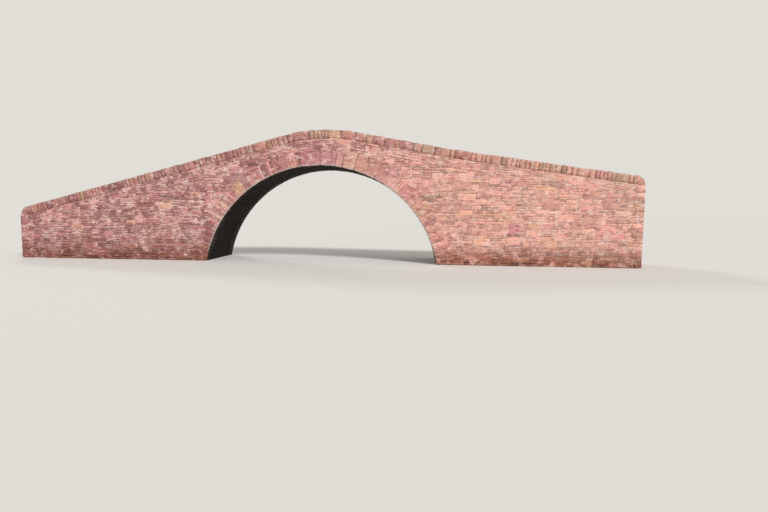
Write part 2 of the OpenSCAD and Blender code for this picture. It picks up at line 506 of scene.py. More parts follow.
@dataclass
class Coursing:
    """How masons lay bedded rubble: thin courses, with here and there a block as high as a few.

    Lengths are in metres, a pair is the lowest and the highest value, and the share of blocks is given
    for the left and for the right. A stone's shape is its length over its height.
    """

    course: Pair = (0.058, 0.132)
    foot_growth: float = 0.45
    shape: float = 4.0
    shape_spread: float = 0.5
    least_shape: float = 1.1
    longest: float = 1.1
    sliver: float = 0.6
    joint: float = 0.016
    upright_joint: float = 0.006
    block_share: Pair = (0.10, 0.27)
    block_courses: tuple[int, int] = (2, 3)
    block_length: Pair = (0.24, 0.72)
    split_share: float = 0.14
    split_from: float = 0.09
    split_at: Pair = (0.4, 0.6)
    corner: float = 0.36
    unevenness: float = 0.009

    def heights(self, base: float, top: float, rng: Chance) -> np.ndarray:
        """Draws the beds' heights from the base to just past the top, higher in the lowest metre.

        Args:
            base: Height of the lowest bed.
            top: Height that the last bed passes.
            rng: The source of chance.

        Returns:
            The heights.
        """
        heights = [base]
        while heights[-1] < top:
            growth = self.foot_growth * max(0.0, 1 - heights[-1])
            heights.append(heights[-1] + rng.uniform(*self.course) * (1 + growth))
        return np.array(heights)

    def lay(self, beds: Beds, reserved: Sequence[tuple[int, float, float]] = ()) -> list[Outline]:
        """Lays courses from one end of the beds to the other.

        Args:
            beds: The beds.
            reserved: Stretches that other stones take, as the course's number, the start and the end.

        Returns:
            The outline of each stone.
        """
        taken: list[list[Pair]] = [[] for _ in beds.heights]
        for row, low, high in reserved:
            taken[row].append((low, high))
        outlines = []
        for row in range(len(beds.heights) - 1):
            x = beds.start
            for stop, after in (*sorted(taken[row]), (beds.end, beds.end)):
                while stop - x > 2 * self.joint:
                    rows, length = self._choose(row, x, beds, taken)
                    finish = x + length
                    if stop - finish < self.sliver * self.course[1]:
                        finish = stop
                    for upper in range(row + 1, row + rows):
                        taken[upper].append((x, finish))
                    outlines += self._outlines((x, finish), (row, row + rows), beds)
                    x = finish
                x = max(x, after)
        return outlines

    def lay_big(
        self, beds: Beds, stones: Sequence[BigStone]
    ) -> Iterator[tuple[BigStone, Outline, list[tuple[int, float, float]]]]:
        """Lays large stones between the beds that are nearest to their undersides and tops.

        Args:
            beds: The beds.
            stones: The large stones.

        Yields:
            Each stone with its outline and the stretches of courses that it takes.
        """
        for stone in stones:
            edges = (stone.middle - stone.height / 2, stone.middle + stone.height / 2)
            low, high = (int(np.abs(beds.heights - edge).argmin()) for edge in edges)
            reach = (stone.x - stone.length / 2, stone.x + stone.length / 2)
            outline = self._between(reach, (low, max(high, low + 1)), beds, (0.0, 1.0))
            yield stone, outline, [(row, *reach) for row in range(low, high)]

    def _choose(self, row: int, x: float, beds: Beds, taken: list[list[Pair]]) -> tuple[int, float]:
        """Picks the next stone's number of courses and its length.

        Args:
            row: The course that it stands in.
            x: Where it starts.
            beds: The beds.
            taken: The taken stretches of each course.

        Returns:
            The number of courses and the length.
        """
        rng = beds.rng
        left, right = self.block_share
        if rng.random() < left + (right - left) * towards_right(x):
            rows = int(rng.integers(self.block_courses[0], self.block_courses[1] + 1))
            length = rng.uniform(*self.block_length)
            above = range(row + 1, row + rows)
            if row + rows < len(beds.heights) and x + length < beds.end and not any(
                low < x + length and high > x for k in above for low, high in taken[k]
            ):
                return rows, length
        height = beds.heights[row + 1] - beds.heights[row]
        length = height * math.exp(rng.normal(math.log(self.shape), self.shape_spread))
        return 1, float(np.clip(length, self.least_shape * height, self.longest))

    def _outlines(self, reach: Pair, rows: tuple[int, int], beds: Beds) -> list[Outline]:
        """Draws a stone between two beds, or now and then a pair of thin ones.

        Args:
            reach: Where it starts and ends, with its joints.
            rows: The beds below and above it.
            beds: The beds.

        Returns:
            Its outline, or both outlines of a pair.
        """
        levels = [0.0, 1.0]
        low, high = rows
        splits = high - low == 1 and beds.heights[high] - beds.heights[low] > self.split_from
        if splits and beds.rng.random() < self.split_share:
            levels.insert(1, beds.rng.uniform(*self.split_at))
        return [self._between(reach, rows, beds, share) for share in zip(levels, levels[1:])]

    def _between(self, reach: Pair, rows: tuple[int, int], beds: Beds, share: Pair) -> Outline:
        """Draws one stone.

        Args:
            reach: Where it starts and ends, with its joints.
            rows: The beds below and above it.
            beds: The beds.
            share: Which part of the height between the beds it takes.

        Returns:
            Its outline.
        """
        gap, side_gap = self.joint / 2, self.upright_joint / 2
        corners = []
        for x in (reach[0] + side_gap, reach[1] - side_gap):
            low, high = (beds.at(row, x) for row in rows)
            ends = [low + (high - low) * share[0] + gap, low + (high - low) * share[1] - gap]
            corners += [(x, z) for z in (ends if corners else ends[::-1])]
        return knapped(np.array(corners), self.corner, self.unevenness, beds.rng)


# Large blocks of the front face, by their height above the base
FRONT_BLOCKS = tuple(BigStone(*stone) for stone in (
    (4.84, 2.75, 0.24, 0.26, 0.80, 1.06),
    (5.30, 2.00, 0.22, 0.20, 0.88),
    (5.00, 2.46, 0.78, 0.16, 0.47, 0.97),
    (4.07, 2.90, 0.42, 0.38, 0.36, 1.02),
    (5.61, 3.06, 0.78, 0.34, 0.58),
    (6.12, 1.34, 0.52, 0.30, 0.60, 1.03),
    (7.32, 1.93, 0.90, 0.40, 0.78, 1.05),
    (7.70, 1.46, 0.42, 0.30, 0.30, 1.14),
    (9.10, 2.45, 0.62, 0.32, 0.52),
    (-6.20, 1.70, 0.50, 0.28, 0.20),
    (-5.10, 2.65, 0.44, 0.26, 0.62),
))
# Large blocks of the front parapet, by their depth below the coping's top, as a negative height
FRONT_PARAPET_BLOCKS = tuple(BigStone(*stone) for stone in (
    (1.02, -0.53, 0.46, 0.26, 0.56, 1.12),
    (-0.38, -0.40, 0.95, 0.08, 0.52, 1.14),
    (0.45, -0.40, 0.70, 0.08, 0.55, 1.12),
    (-1.90, -0.55, 0.46, 0.20, 0.40, 0.98),
))


@dataclass
class Quarry:
    """Where the stone comes from: how its colour drifts along the bridge and varies from stone to stone.

    A drift is a wave of the tint: its reach, its radians per metre along X and along Z, and its start.
    """

    rng: Chance
    mauve_to_buff: Pair = (0.22, 0.61)
    drifts: tuple[tuple[float, ...], ...] = ((0.08, 1.9, 0.8, 1.0), (0.06, -2.3, 4.7, 0.0))
    left_tone: float = 0.74
    tone_drift: float = 0.04
    spread: float = 0.085
    stray_share: float = 0.03
    level: float = 1.17
    tone_spread: float = 0.18
    tone_limits: Pair = (0.5, 1.3)
    proud: Pair = (0.005, 0.017)

    def colour(self, x: float, z: float) -> Pair:
        """Picks a stone's tint and tone for a place on the bridge.

        Args:
            x: The place along the bridge.
            z: Its height.

        Returns:
            The place in the palette, from 0 to 1, and the brightness.
        """
        drift = sum(reach * math.sin(a * x + b * z + start) for reach, a, b, start in self.drifts)
        left, right = self.mauve_to_buff
        share = towards_right(x)
        tint = left + (right - left) * share + drift + self.rng.normal(0, self.spread)
        if self.rng.random() < self.stray_share:
            tint = self.rng.uniform(0, 1)
        tone = self.level * math.exp(self.tone_spread * self.rng.standard_t(5))
        tone *= 1 + self.tone_drift * math.sin(2.7 * x - 1.9 * z)
        tone *= self.left_tone + (1 - self.left_tone) * share
        return min(1.0, max(0.0, tint)), min(self.tone_limits[1], max(self.tone_limits[0], tone))

    def stone(self, outline: Outline, x: float | None = None, z: float | None = None) -> Stone:
        """Picks a stone for an outline, by its own place or by the one given.

        Args:
            outline: The outline.
            x: The place along the bridge, if it isn't the outline's.
            z: The height, if it isn't the outline's.

        Returns:
            The stone.
        """
        middle = outline.mean(0)
        tint, tone = self.colour(middle[0] if x is None else x, middle[1] if z is None else z)
        return Stone(outline, tint, tone, self.rng.uniform(*self.proud))

    def block(self, outline: Outline, big: "BigStone | BigVoussoir") -> Stone:
        """Gives a large stone its own colour."""
        return Stone(outline, big.tint, big.tone, self.proud[1])


def add_attribute(mesh: bpy.types.Mesh, name: str, rows: Sequence[Any]) -> None:
    """Stores a number or a vector for each point of a mesh.

    Args:
        mesh: The mesh.
        name: The attribute's name.
        rows: The value of each point.
    """
    data = np.asarray(rows, np.float32)
    kind, slot = ("FLOAT", "value") if data.ndim == 1 else ("FLOAT_VECTOR", "vector")
    mesh.attributes.new(name, kind, "POINT").data.foreach_set(slot, data.ravel())


class StoneTree:
    """A Geometry Nodes tree with named inputs, which turns outlines or points into stones."""

    scaffold: tuple[str, ...] = ()

    def __init__(self, name: str, inputs: dict[str, tuple[str, Any]]) -> None:
        """Starts the tree.

        Args:
            name: The tree's name.
            inputs: For each named input, its socket type and its value at first.
        """
        self.tree = bpy.data.node_groups.new(name, "GeometryNodeTree")
        face = self.tree.interface
        face.new_socket("Geometry", in_out="INPUT", socket_type="NodeSocketGeometry")
        face.new_socket("Geometry", in_out="OUTPUT", socket_type="NodeSocketGeometry")
        self.sockets: dict[str, str] = {}
        for label, (kind, value) in inputs.items():
            socket = face.new_socket(label, in_out="INPUT", socket_type=kind)
            if value is not None:
                socket.default_value = value
            self.sockets[label] = socket.identifier
        self.given = add_node(self.tree, "NodeGroupInput").outputs

    def read(self, **kinds: str) -> dict[str, Socket]:
        """Adds what reads each named attribute of the geometry.

        Args:
            **kinds: For each attribute's name, its type.

        Returns:
            The output of each.
        """
        reader = "GeometryNodeInputNamedAttribute"
        return {
            name: add_node(self.tree, reader, {"Name": name}, data_type=kind).outputs[0]
            for name, kind in kinds.items()
        }

    def finish(self, geometry: Socket, smooth: bool) -> None:
        """Ends the tree: the stones are roughened by noise, made real and given their material.

        Args:
            geometry: The stones.
            smooth: Whether they are shaded smooth.
        """
        tree, given = self.tree, self.given
        place = add_node(tree, "GeometryNodeInputPosition").outputs[0]
        noise = add_node(
            tree, "ShaderNodeTexNoise",
            {"Vector": place, "W": given["Seed"], "Scale": given["Lumps per metre"], "Detail": 2.0},
            noise_dimensions="4D",
        )
        centred = add_node(
            tree, "ShaderNodeVectorMath", {0: noise.outputs[1], 1: (0.5, 0.5, 0.5)}, operation="SUBTRACT"
        )
        shift = add_node(
            tree, "ShaderNodeVectorMath", {0: centred.outputs[0], "Scale": given["Roughness"]},
            operation="SCALE",
        )
        rough = add_node(
            tree, "GeometryNodeSetPosition", {"Geometry": geometry, "Offset": shift.outputs[0]}
        )
        shaded = add_node(
            tree, "GeometryNodeSetShadeSmooth", {"Geometry": rough.outputs[0], "Shade Smooth": smooth}
        )
        real = add_node(tree, "GeometryNodeRealizeInstances", {"Geometry": shaded.outputs[0]})
        dressed = add_node(
            tree, "GeometryNodeSetMaterial", {"Geometry": real.outputs[0], "Material": given["Material"]}
        )
        add_node(tree, "NodeGroupOutput", {0: dressed.outputs[0]})

    def begin(self, mesh: bpy.types.Mesh, stones: Sequence[Any]) -> None:
        """Fills a mesh with what the tree makes the stones of."""
        raise NotImplementedError

    def build(
        self, name: str, stones: Sequence[Any], material: bpy.types.Material, seed: int, **sizes: float
    ) -> bpy.types.Object:
        """Runs the tree on the stones of one piece and keeps the result as a plain mesh.

        Args:
            name: The piece's name.
            stones: The stones, in the form that the tree takes.
            material: Their finish.
            seed: The seed of their roughness.
            **sizes: Values for the tree's other inputs, with spaces written as underscores.

        Returns:
            The piece.
        """
        mesh = bpy.data.meshes.new(name)
        self.begin(mesh, stones)
        source = add_object(name + "_source", mesh)
        modifier = source.modifiers.new("stones", "NODES")
        modifier.node_group = self.tree
        for label, value in {"Seed": seed, "Material": material, **sizes}.items():
            modifier[self.sockets[label.replace("_", " ")]] = value
        bpy.context.view_layer.update()
        graph = bpy.context.evaluated_depsgraph_get()
        grown = bpy.data.meshes.new_from_object(source.evaluated_get(graph))
        source.modifiers.remove(modifier)
        bpy.data.objects.remove(source)
        bpy.data.meshes.remove(mesh)
        for attribute in self.scaffold:
            if attribute in grown.attributes:
                grown.attributes.remove(grown.attributes[attribute])
        grown.name = name
        return add_object(name, grown)


class LaidStones(StoneTree):
    """Raises each outline into a closed stone with a worn edge and a low dome.

    The edge takes at most a fifth of a stone, and points that are too close together become one.
    """

    scaffold = ("outward", "along", "across", "proud", "shrink_along", "shrink_across")
    edge = 0.010
    too_close = 3 * MM
    weld = 0.1 * MM

    def __init__(self) -> None:
        """Builds the tree."""
        super().__init__("laid_stones", {
            "Edge rise": ("NodeSocketFloat", 0.005),
            "Dome": ("NodeSocketFloat", 0.003),
            "Dome share": ("NodeSocketFloat", 0.6),
            "Roughness": ("NodeSocketFloat", 0.012),
            "Lumps per metre": ("NodeSocketFloat", 11.0),
            "Seed": ("NodeSocketInt", 1),
            "Material": ("NodeSocketMaterial", None),
        })
        tree, given = self.tree, self.given
        stone = self.read(
            outward="FLOAT_VECTOR", along="FLOAT_VECTOR", across="FLOAT_VECTOR",
            proud="FLOAT", shrink_along="FLOAT", shrink_across="FLOAT",
        )
        body_rise = add_node(
            tree, "ShaderNodeMath", {0: stone["proud"], 1: given["Edge rise"]}, operation="SUBTRACT"
        ).outputs[0]
        mesh, top = given["Geometry"], None
        for rise, shrinks in (
            (body_rise, ()),
            (given["Edge rise"], (("along", stone["shrink_along"]), ("across", stone["shrink_across"]))),
            (given["Dome"], ((None, given["Dome share"]),)),
        ):
            offset = add_node(
                tree, "ShaderNodeVectorMath", {0: stone["outward"], "Scale": rise}, operation="SCALE"
            ).outputs[0]
            inputs = {"Mesh": mesh, "Offset": offset, "Offset Scale": 1.0, "Individual": True}
            if top:
                inputs["Selection"] = top
            raised = add_node(tree, "GeometryNodeExtrudeMesh", inputs, mode="FACES")
            mesh, top = raised.outputs["Mesh"], raised.outputs["Top"]
            for axis, share in shrinks:
                inputs = {"Geometry": mesh, "Selection": top, "Scale": share}
                if axis:
                    inputs["Axis"] = stone[axis]
                mesh = add_node(
                    tree, "GeometryNodeScaleElements", inputs,
                    domain="FACE", scale_mode="SINGLE_AXIS" if axis else "UNIFORM",
                ).outputs[0]
        back = add_node(tree, "GeometryNodeFlipFaces", {"Mesh": given["Geometry"]}).outputs[0]
        whole = add_node(tree, "GeometryNodeJoinGeometry")
        tree.links.new(back, whole.inputs[0])
        tree.links.new(mesh, whole.inputs[0])
        welded = add_node(
            tree, "GeometryNodeMergeByDistance", {"Geometry": whole.outputs[0], "Distance": self.weld}
        )
        self.finish(welded.outputs[0], smooth=False)

    def begin(self, mesh: bpy.types.Mesh, stones: Sequence[tuple[Stone, Face | VaultFace]]) -> None:
        """Draws each stone's outline at its back, with what the tree needs to know of it.

        Args:
            mesh: The mesh.
            stones: Each stone with the face that it is laid in.
        """
        rows: dict[str, list[np.ndarray]] = {key: [] for key in ("place", "tint", "tone", *self.scaffold)}
        faces: list[list[int]] = []
        count = 0
        for stone, face in stones:
            near = np.linalg.norm(stone.outline - np.roll(stone.outline, 1, axis=0), axis=1)
            outline = stone.outline[near > self.too_close]
            spots = face.place(outline)
            outward, along = face.directions(outline.mean(0))
            if np.cross(spots, np.roll(spots, -1, axis=0)).sum(0) @ outward < 0:
                spots = spots[::-1]
            length, height = np.ptp(outline, axis=0)
            faces.append(list(range(count, count + len(spots))))
            count += len(spots)
            rows["place"].append(spots)
            for key, value in (
                ("tint", stone.tint), ("tone", stone.tone), ("outward", outward), ("along", along),
                ("across", np.cross(outward, along)), ("proud", stone.proud + face.embedded),
                ("shrink_along", 1 - 2 * min(self.edge, length / 5) / length),
                ("shrink_across", 1 - 2 * min(self.edge, height / 5) / height),
            ):
                rows[key].append(np.tile(value, (len(spots), 1)))
        mesh.from_pydata(np.vstack(rows.pop("place")).tolist(), [], faces)
        for key, value in rows.items():
            data = np.vstack(value)
            add_attribute(mesh, key, data[:, 0] if data.shape[1] == 1 else data)


class SetStones(StoneTree):
    """Sets a block with rounded edges on each point, turned and sized by the point's attributes."""

    scaffold = ("turn", "size")

    def __init__(self) -> None:
        """Builds the tree."""
        super().__init__("set_stones", {
            "Steps": ("NodeSocketInt", 4),
            "Squareness": ("NodeSocketFloat", 6.0),
            "Roughness": ("NodeSocketFloat", 0.03),
            "Lumps per metre": ("NodeSocketFloat", 7.0),
            "Seed": ("NodeSocketInt", 1),
            "Material": ("NodeSocketMaterial", None),
        })
        tree, given = self.tree, self.given
        point = self.read(turn="FLOAT_VECTOR", size="FLOAT_VECTOR")
        corners = add_node(tree, "ShaderNodeMath", {0: given["Steps"], 1: 1.0}, operation="ADD").outputs[0]
        cube = add_node(
            tree, "GeometryNodeMeshCube",
            {"Size": (1.0, 1.0, 1.0), "Vertices X": corners, "Vertices Y": corners, "Vertices Z": corners},
        )
        place = add_node(tree, "GeometryNodeInputPosition").outputs[0]
        # The cube becomes a superellipsoid: its points move towards the middle until the powers of
        # their coordinates add up to the same sum.
        mirrored = add_node(tree, "ShaderNodeVectorMath", {0: place}, operation="ABSOLUTE").outputs[0]
        exponent = add_node(
            tree, "ShaderNodeCombineXYZ", {axis: given["Squareness"] for axis in range(3)}
        ).outputs[0]
        powers = add_node(
            tree, "ShaderNodeVectorMath", {0: mirrored, 1: exponent}, operation="POWER"
        ).outputs[0]
        total = add_node(
            tree, "ShaderNodeVectorMath", {0: powers, 1: (1.0, 1.0, 1.0)}, operation="DOT_PRODUCT"
        ).outputs["Value"]
        root = add_node(
            tree, "ShaderNodeMath", {0: 1.0, 1: given["Squareness"]}, operation="DIVIDE"
        ).outputs[0]
        reach = add_node(tree, "ShaderNodeMath", {0: total, 1: root}, operation="POWER").outputs[0]
        shrink = add_node(tree, "ShaderNodeMath", {0: 0.5, 1: reach}, operation="DIVIDE").outputs[0]
        rounded = add_node(
            tree, "ShaderNodeVectorMath", {0: place, "Scale": shrink}, operation="SCALE"
        ).outputs[0]
        block = add_node(
            tree, "GeometryNodeSetPosition", {"Geometry": cube.outputs["Mesh"], "Position": rounded}
        ).outputs[0]
        rise = add_node(tree, "ShaderNodeSeparateXYZ", {0: place}).outputs[2]
        marked = add_node(
            tree, "GeometryNodeStoreNamedAttribute", {"Geometry": block, "Name": "rise", "Value": rise}
        ).outputs[0]
        copies = add_node(
            tree, "GeometryNodeInstanceOnPoints",
            {"Points": given["Geometry"], "Instance": marked, "Rotation": point["turn"],
             "Scale": point["size"]},
        ).outputs[0]
        real = add_node(tree, "GeometryNodeRealizeInstances", {"Geometry": copies}).outputs[0]
        self.finish(real, smooth=True)

    def begin(self, mesh: bpy.types.Mesh, stones: Sequence[Block]) -> None:
        """Puts a point at the middle of each block, with its turn, its size and its colour.

        Args:
            mesh: The mesh.
            stones: The blocks.
        """
        mesh.from_pydata([tuple(stone.middle) for stone in stones], [], [])
        for key in ("turn", "size", "tint", "tone"):
            add_attribute(mesh, key, [getattr(stone, key) for stone in stones])


@dataclass(frozen=True)
class Ground:
    """A material while it is built: its tree, the coordinates that it reads, and the bridge's size."""

    tree: bpy.types.NodeTree
    place: Socket
    size: BridgeSize


@dataclass(frozen=True)
class Patches:
    """The patches of a natural surface: their real height, and the noise values that become 0 and 1.

    The patches of bedded stone and of what runs level are some times as wide as they are high.
    """

    size_mm: float
    low: float = 0.35
    high: float = 0.65
    wide: float = 1.0
    detail: float = 3.0

    def share(self, ground: Ground) -> Socket:
        """Adds the patches to a material.

        Args:
            ground: The material.

        Returns:
            A value from 0 to 1.
        """
        tree = ground.tree
        scale = tuple(1 / (self.size_mm * MM * s) for s in (self.wide, self.wide, 1.0))
        mapped = add_node(tree, "ShaderNodeMapping", {"Vector": ground.place, "Scale": scale}).outputs[0]
        noise = add_node(
            tree, "ShaderNodeTexNoise",
            {"Vector": mapped, "Scale": 1.0, "Detail": self.detail, "Roughness": 0.6},
        ).outputs[0]
        return add_node(
            tree, "ShaderNodeMapRange", {"Value": noise, "From Min": self.low, "From Max": self.high}
        ).outputs[0]


def coat(ground: Ground, below: Socket | str, hex_code: str, *shares: Any) -> Socket:
    """Lays a colour over another, where every share is high.

    Args:
        ground: The material.
        below: The colour so far.
        hex_code: The colour on top.
        *shares: Values or outputs, which are multiplied.

    Returns:
        The colour of both.
    """
    tree, share = ground.tree, shares[0]
    for other in shares[1:]:
        share = add_node(tree, "ShaderNodeMath", {0: share, 1: other}, operation="MULTIPLY").outputs[0]
    first = linear(below) if isinstance(below, str) else below
    mixed = add_node(tree, "ShaderNodeMix", {0: share, 6: first, 7: linear(hex_code)}, data_type="RGBA")
    return mixed.outputs[2]


@dataclass(frozen=True)
class MasonryFinish:
    """What the bridge's finishes share: damp at the base, painted shade under the arch and growth on top.

    Stone and mortar are dry and matt, so they throw back the light evenly and show no gloss.
    """

    name: str
    roughness: float = 0.92
    specular: float = 0.25
    damp_colour: str = "#84492f"
    damp_height: float = 0.65
    damp: float = 0.85
    damp_wander: float = 0.5
    damp_edge: Patches = Patches(520.0, 0.2, 0.8, wide=1.6)
    damp_blotches: Patches = Patches(150.0, 0.3, 0.52, wide=1.5, detail=5.0)
    # Painted shade under the arch: faces that look towards the arch's centre are painted near black
    soffit_shade_colour: str = "#0b0806"
    soffit_shade: float = 0.0
    soffit_shade_from: float = -0.3
    soffit_shade_fade: float = 0.4
    lichen_colour: str = "#b0a795"
    lichen: float = 0.0
    lichen_spread: Patches = Patches(480.0, 0.3, 0.66, detail=4.0)
    lichen_crust: Patches = Patches(70.0, 0.36, 0.56, detail=6.0)

    def build(self, size: BridgeSize) -> bpy.types.Material:
        """Builds the material.

        Args:
            size: The bridge, for what depends on the arch.

        Returns:
            The material.
        """
        material = bpy.data.materials.new(self.name)
        material.use_nodes = True
        tree = material.node_tree
        tree.nodes.clear()
        ground = Ground(tree, add_node(tree, "ShaderNodeTexCoord").outputs["Object"], size)
        shader = add_node(
            tree, "ShaderNodeBsdfPrincipled",
            {"Base Color": self.weathered(ground, self.colour(ground)), "Roughness": self.roughness,
             "Specular IOR Level": self.specular, "Normal": self.relief(ground)},
        )
        add_node(tree, "ShaderNodeOutputMaterial", {"Surface": shader.outputs[0]})
        return material

    def colour(self, ground: Ground) -> Socket:
        """Adds the clean material's colour."""
        raise NotImplementedError

    def relief(self, ground: Ground) -> Socket:
        """Adds the surface's fine relief."""
        raise NotImplementedError

    def weathered(self, ground: Ground, colour: Socket) -> Socket:
        """Adds what wet, shade and growth do to a colour.

        Args:
            ground: The material.
            colour: The clean colour.

        Returns:
            The weathered colour.
        """
        tree, place = ground.tree, ground.place
        height = add_node(tree, "ShaderNodeSeparateXYZ", {0: place}).outputs[2]
        level = add_node(
            tree, "ShaderNodeMath", {0: self.damp_edge.share(ground), 1: -self.damp_wander, 2: height},
            operation="MULTIPLY_ADD",
        ).outputs[0]
        wet = add_node(
            tree, "ShaderNodeMapRange",
            {"Value": level, "From Min": self.damp_height, "From Max": -0.1, "To Max": self.damp},
        ).outputs[0]
        colour = coat(ground, colour, self.damp_colour, wet, self.damp_blotches.share(ground))
        normal = add_node(tree, "ShaderNodeNewGeometry").outputs["Normal"]
        # Painted shade: faces under the arch, looking towards its centre, are darkened to near black
        if self.soffit_shade:
            from_centre = add_node(
                tree, "ShaderNodeVectorMath",
                {0: place, 1: (1.0, 0.0, 1.0), 2: (0.0, 0.0, -ground.size.arch_centre)},
                operation="MULTIPLY_ADD",
            ).outputs[0]
            outwards = add_node(
                tree, "ShaderNodeVectorMath", {0: from_centre}, operation="NORMALIZE"
            ).outputs[0]
            facing = add_node(
                tree, "ShaderNodeVectorMath", {0: normal, 1: outwards}, operation="DOT_PRODUCT"
            ).outputs["Value"]
            underside_shade = add_node(
                tree, "ShaderNodeMapRange",
                {"Value": facing, "From Min": self.soffit_shade_from,
                 "From Max": self.soffit_shade_from - self.soffit_shade_fade},
            ).outputs[0]
            colour = coat(ground, colour, self.soffit_shade_colour, underside_shade, self.soffit_shade)
        if self.lichen:
            up = add_node(tree, "ShaderNodeSeparateXYZ", {0: normal}).outputs[2]
            over = add_node(
                tree, "ShaderNodeMapRange", {"Value": up, "From Min": 0.2, "From Max": 0.8}
            ).outputs[0]
            shares = [patches.share(ground) for patches in (self.lichen_crust, self.lichen_spread)]
            colour = coat(ground, colour, self.lichen_colour, over, *shares, self.lichen)
        return colour


@dataclass(frozen=True)
class Sandstone(MasonryFinish):
    """Red bedded sandstone, split along its beds and dressed with a hammer.

    It is matt and slightly sugary. Each stone has the colour of its own bed, the beds show as faint
    bands, and lime washed out of the joints leaves a pale bloom. The real grain is under a millimetre
    and too fine to show, so it is drawn 9 mm wide.
    """

    palette: tuple[str, ...] = (
        "#a96c72", "#c48185", "#d69091", "#df9b92", "#e7a796", "#e9af9a", "#e3ad8d", "#b38571"
    )
    bed_mm: float = 24.0
    grain_mm: float = 9.0
    bloom_mm: float = 850.0
    stain_and_fleck_mm: float = 150.0
    hammer_marks: Patches = Patches(70.0, 0.25, 0.75, wide=1.8, detail=5.0)
    # Painted highlight: a pale line where the ring's lower edge round the opening catches the light
    arris_highlight: float = 0.0
    arris_highlight_colour: str = "#bdb2a5"
    arris_highlight_reach: Pair = (0.03, 0.085)
    arris_highlight_patches: Patches = Patches(110.0, 0.28, 0.58)
    crust: float = 0.0
    crust_edge: Patches = Patches(90.0, 0.25, 0.75, detail=5.0)
    crust_wander: float = 0.3
    crust_rise: Pair = (0.62, 0.85)

    def colour(self, ground: Ground) -> Socket:
        """Adds each stone's own colour, with its bands, its grain and its bloom.

        Args:
            ground: The material.

        Returns:
            The colour.
        """
        tree = ground.tree
        tint, tone = (
            add_node(tree, "ShaderNodeAttribute", attribute_name=name).outputs["Fac"]
            for name in ("tint", "tone")
        )
        ramp = add_node(tree, "ShaderNodeValToRGB", {0: tint})
        stops = ramp.color_ramp.elements
        while len(stops) < len(self.palette):
            stops.new(0.5)
        for i, code in enumerate(self.palette):
            stops[i].position = i / (len(self.palette) - 1)
            stops[i].color = linear(code)
        colour = add_node(
            tree, "ShaderNodeMix", {0: 1.0, 6: ramp.outputs[0], 7: tone},
            data_type="RGBA", blend_type="MULTIPLY",
        ).outputs[2]
        for patches, code, strength in (
            # Pale and dark beds
            (Patches(self.bed_mm, 0.5, 0.68, wide=9.0), "#ecc9bd", 0.34),
            (Patches(self.bed_mm * 1.7, 0.5, 0.7, wide=8.0), "#83483c", 0.4),
            (Patches(self.grain_mm, 0.5, 0.72), "#753f33", 0.35),
            # Lime bloom, and the rust of the stone's own iron
            (Patches(self.bloom_mm, 0.44, 0.72, detail=6.0), "#efcabd", 0.35),
            (Patches(self.bloom_mm * 1.6, 0.5, 0.78, detail=6.0), "#894c3b", 0.25),
            # Dark stains mixed with painted shadow flecks of pits, and pale painted highlight flecks
            (Patches(self.stain_and_fleck_mm, 0.53, 0.64, wide=1.7, detail=5.0), "#6e3327", 0.46),
            (Patches(self.stain_and_fleck_mm * 0.8, 0.54, 0.64, wide=1.6, detail=5.0), "#fee6da", 0.5),
        ):
            colour = coat(ground, colour, code, patches.share(ground), strength)
        if self.crust:
            rise = add_node(tree, "ShaderNodeAttribute", attribute_name="rise").outputs["Fac"]
            edge = add_node(
                tree, "ShaderNodeMath", {0: self.crust_edge.share(ground), 1: self.crust_wander, 2: rise},
                operation="MULTIPLY_ADD",
            ).outputs[0]
            none, whole = self.crust_rise
            grown = add_node(
                tree, "ShaderNodeMapRange", {"Value": edge, "From Min": none, "From Max": whole}
            ).outputs[0]
            colour = coat(ground, colour, self.lichen_colour, grown, self.crust)
        return self._edge_highlight(ground, colour) if self.arris_highlight else colour

    def _edge_highlight(self, ground: Ground, colour: Socket) -> Socket:
        """Adds a painted highlight along the ring's lower edge round the opening, laid on in patches.

        Args:
            ground: The material.
            colour: The colour so far.

        Returns:
            The colour with the edge.
        """
        tree, size = ground.tree, ground.size
        flat = add_node(
            tree, "ShaderNodeVectorMath", {0: ground.place, 1: (1.0, 0.0, 1.0)}, operation="MULTIPLY"
        ).outputs[0]
        away = add_node(
            tree, "ShaderNodeVectorMath", {0: flat, 1: (0.0, 0.0, size.arch_centre)}, operation="DISTANCE"
        ).outputs["Value"]
        whole, gone = (size.arch_radius + reach for reach in self.arris_highlight_reach)
        near = add_node(
            tree, "ShaderNodeMapRange", {"Value": away, "From Min": gone, "From Max": whole}
        ).outputs[0]
        return coat(ground, colour, self.arris_highlight_colour, near, self.arris_highlight_patches.share(ground), self.arris_highlight)

    def relief(self, ground: Ground) -> Socket:
        """Adds the marks of the hammer and the stone's beds."""
        marks = {"Height": self.hammer_marks.share(ground), "Strength": 0.9, "Distance": 0.03}
        return add_node(ground.tree, "ShaderNodeBump", marks).outputs[0]


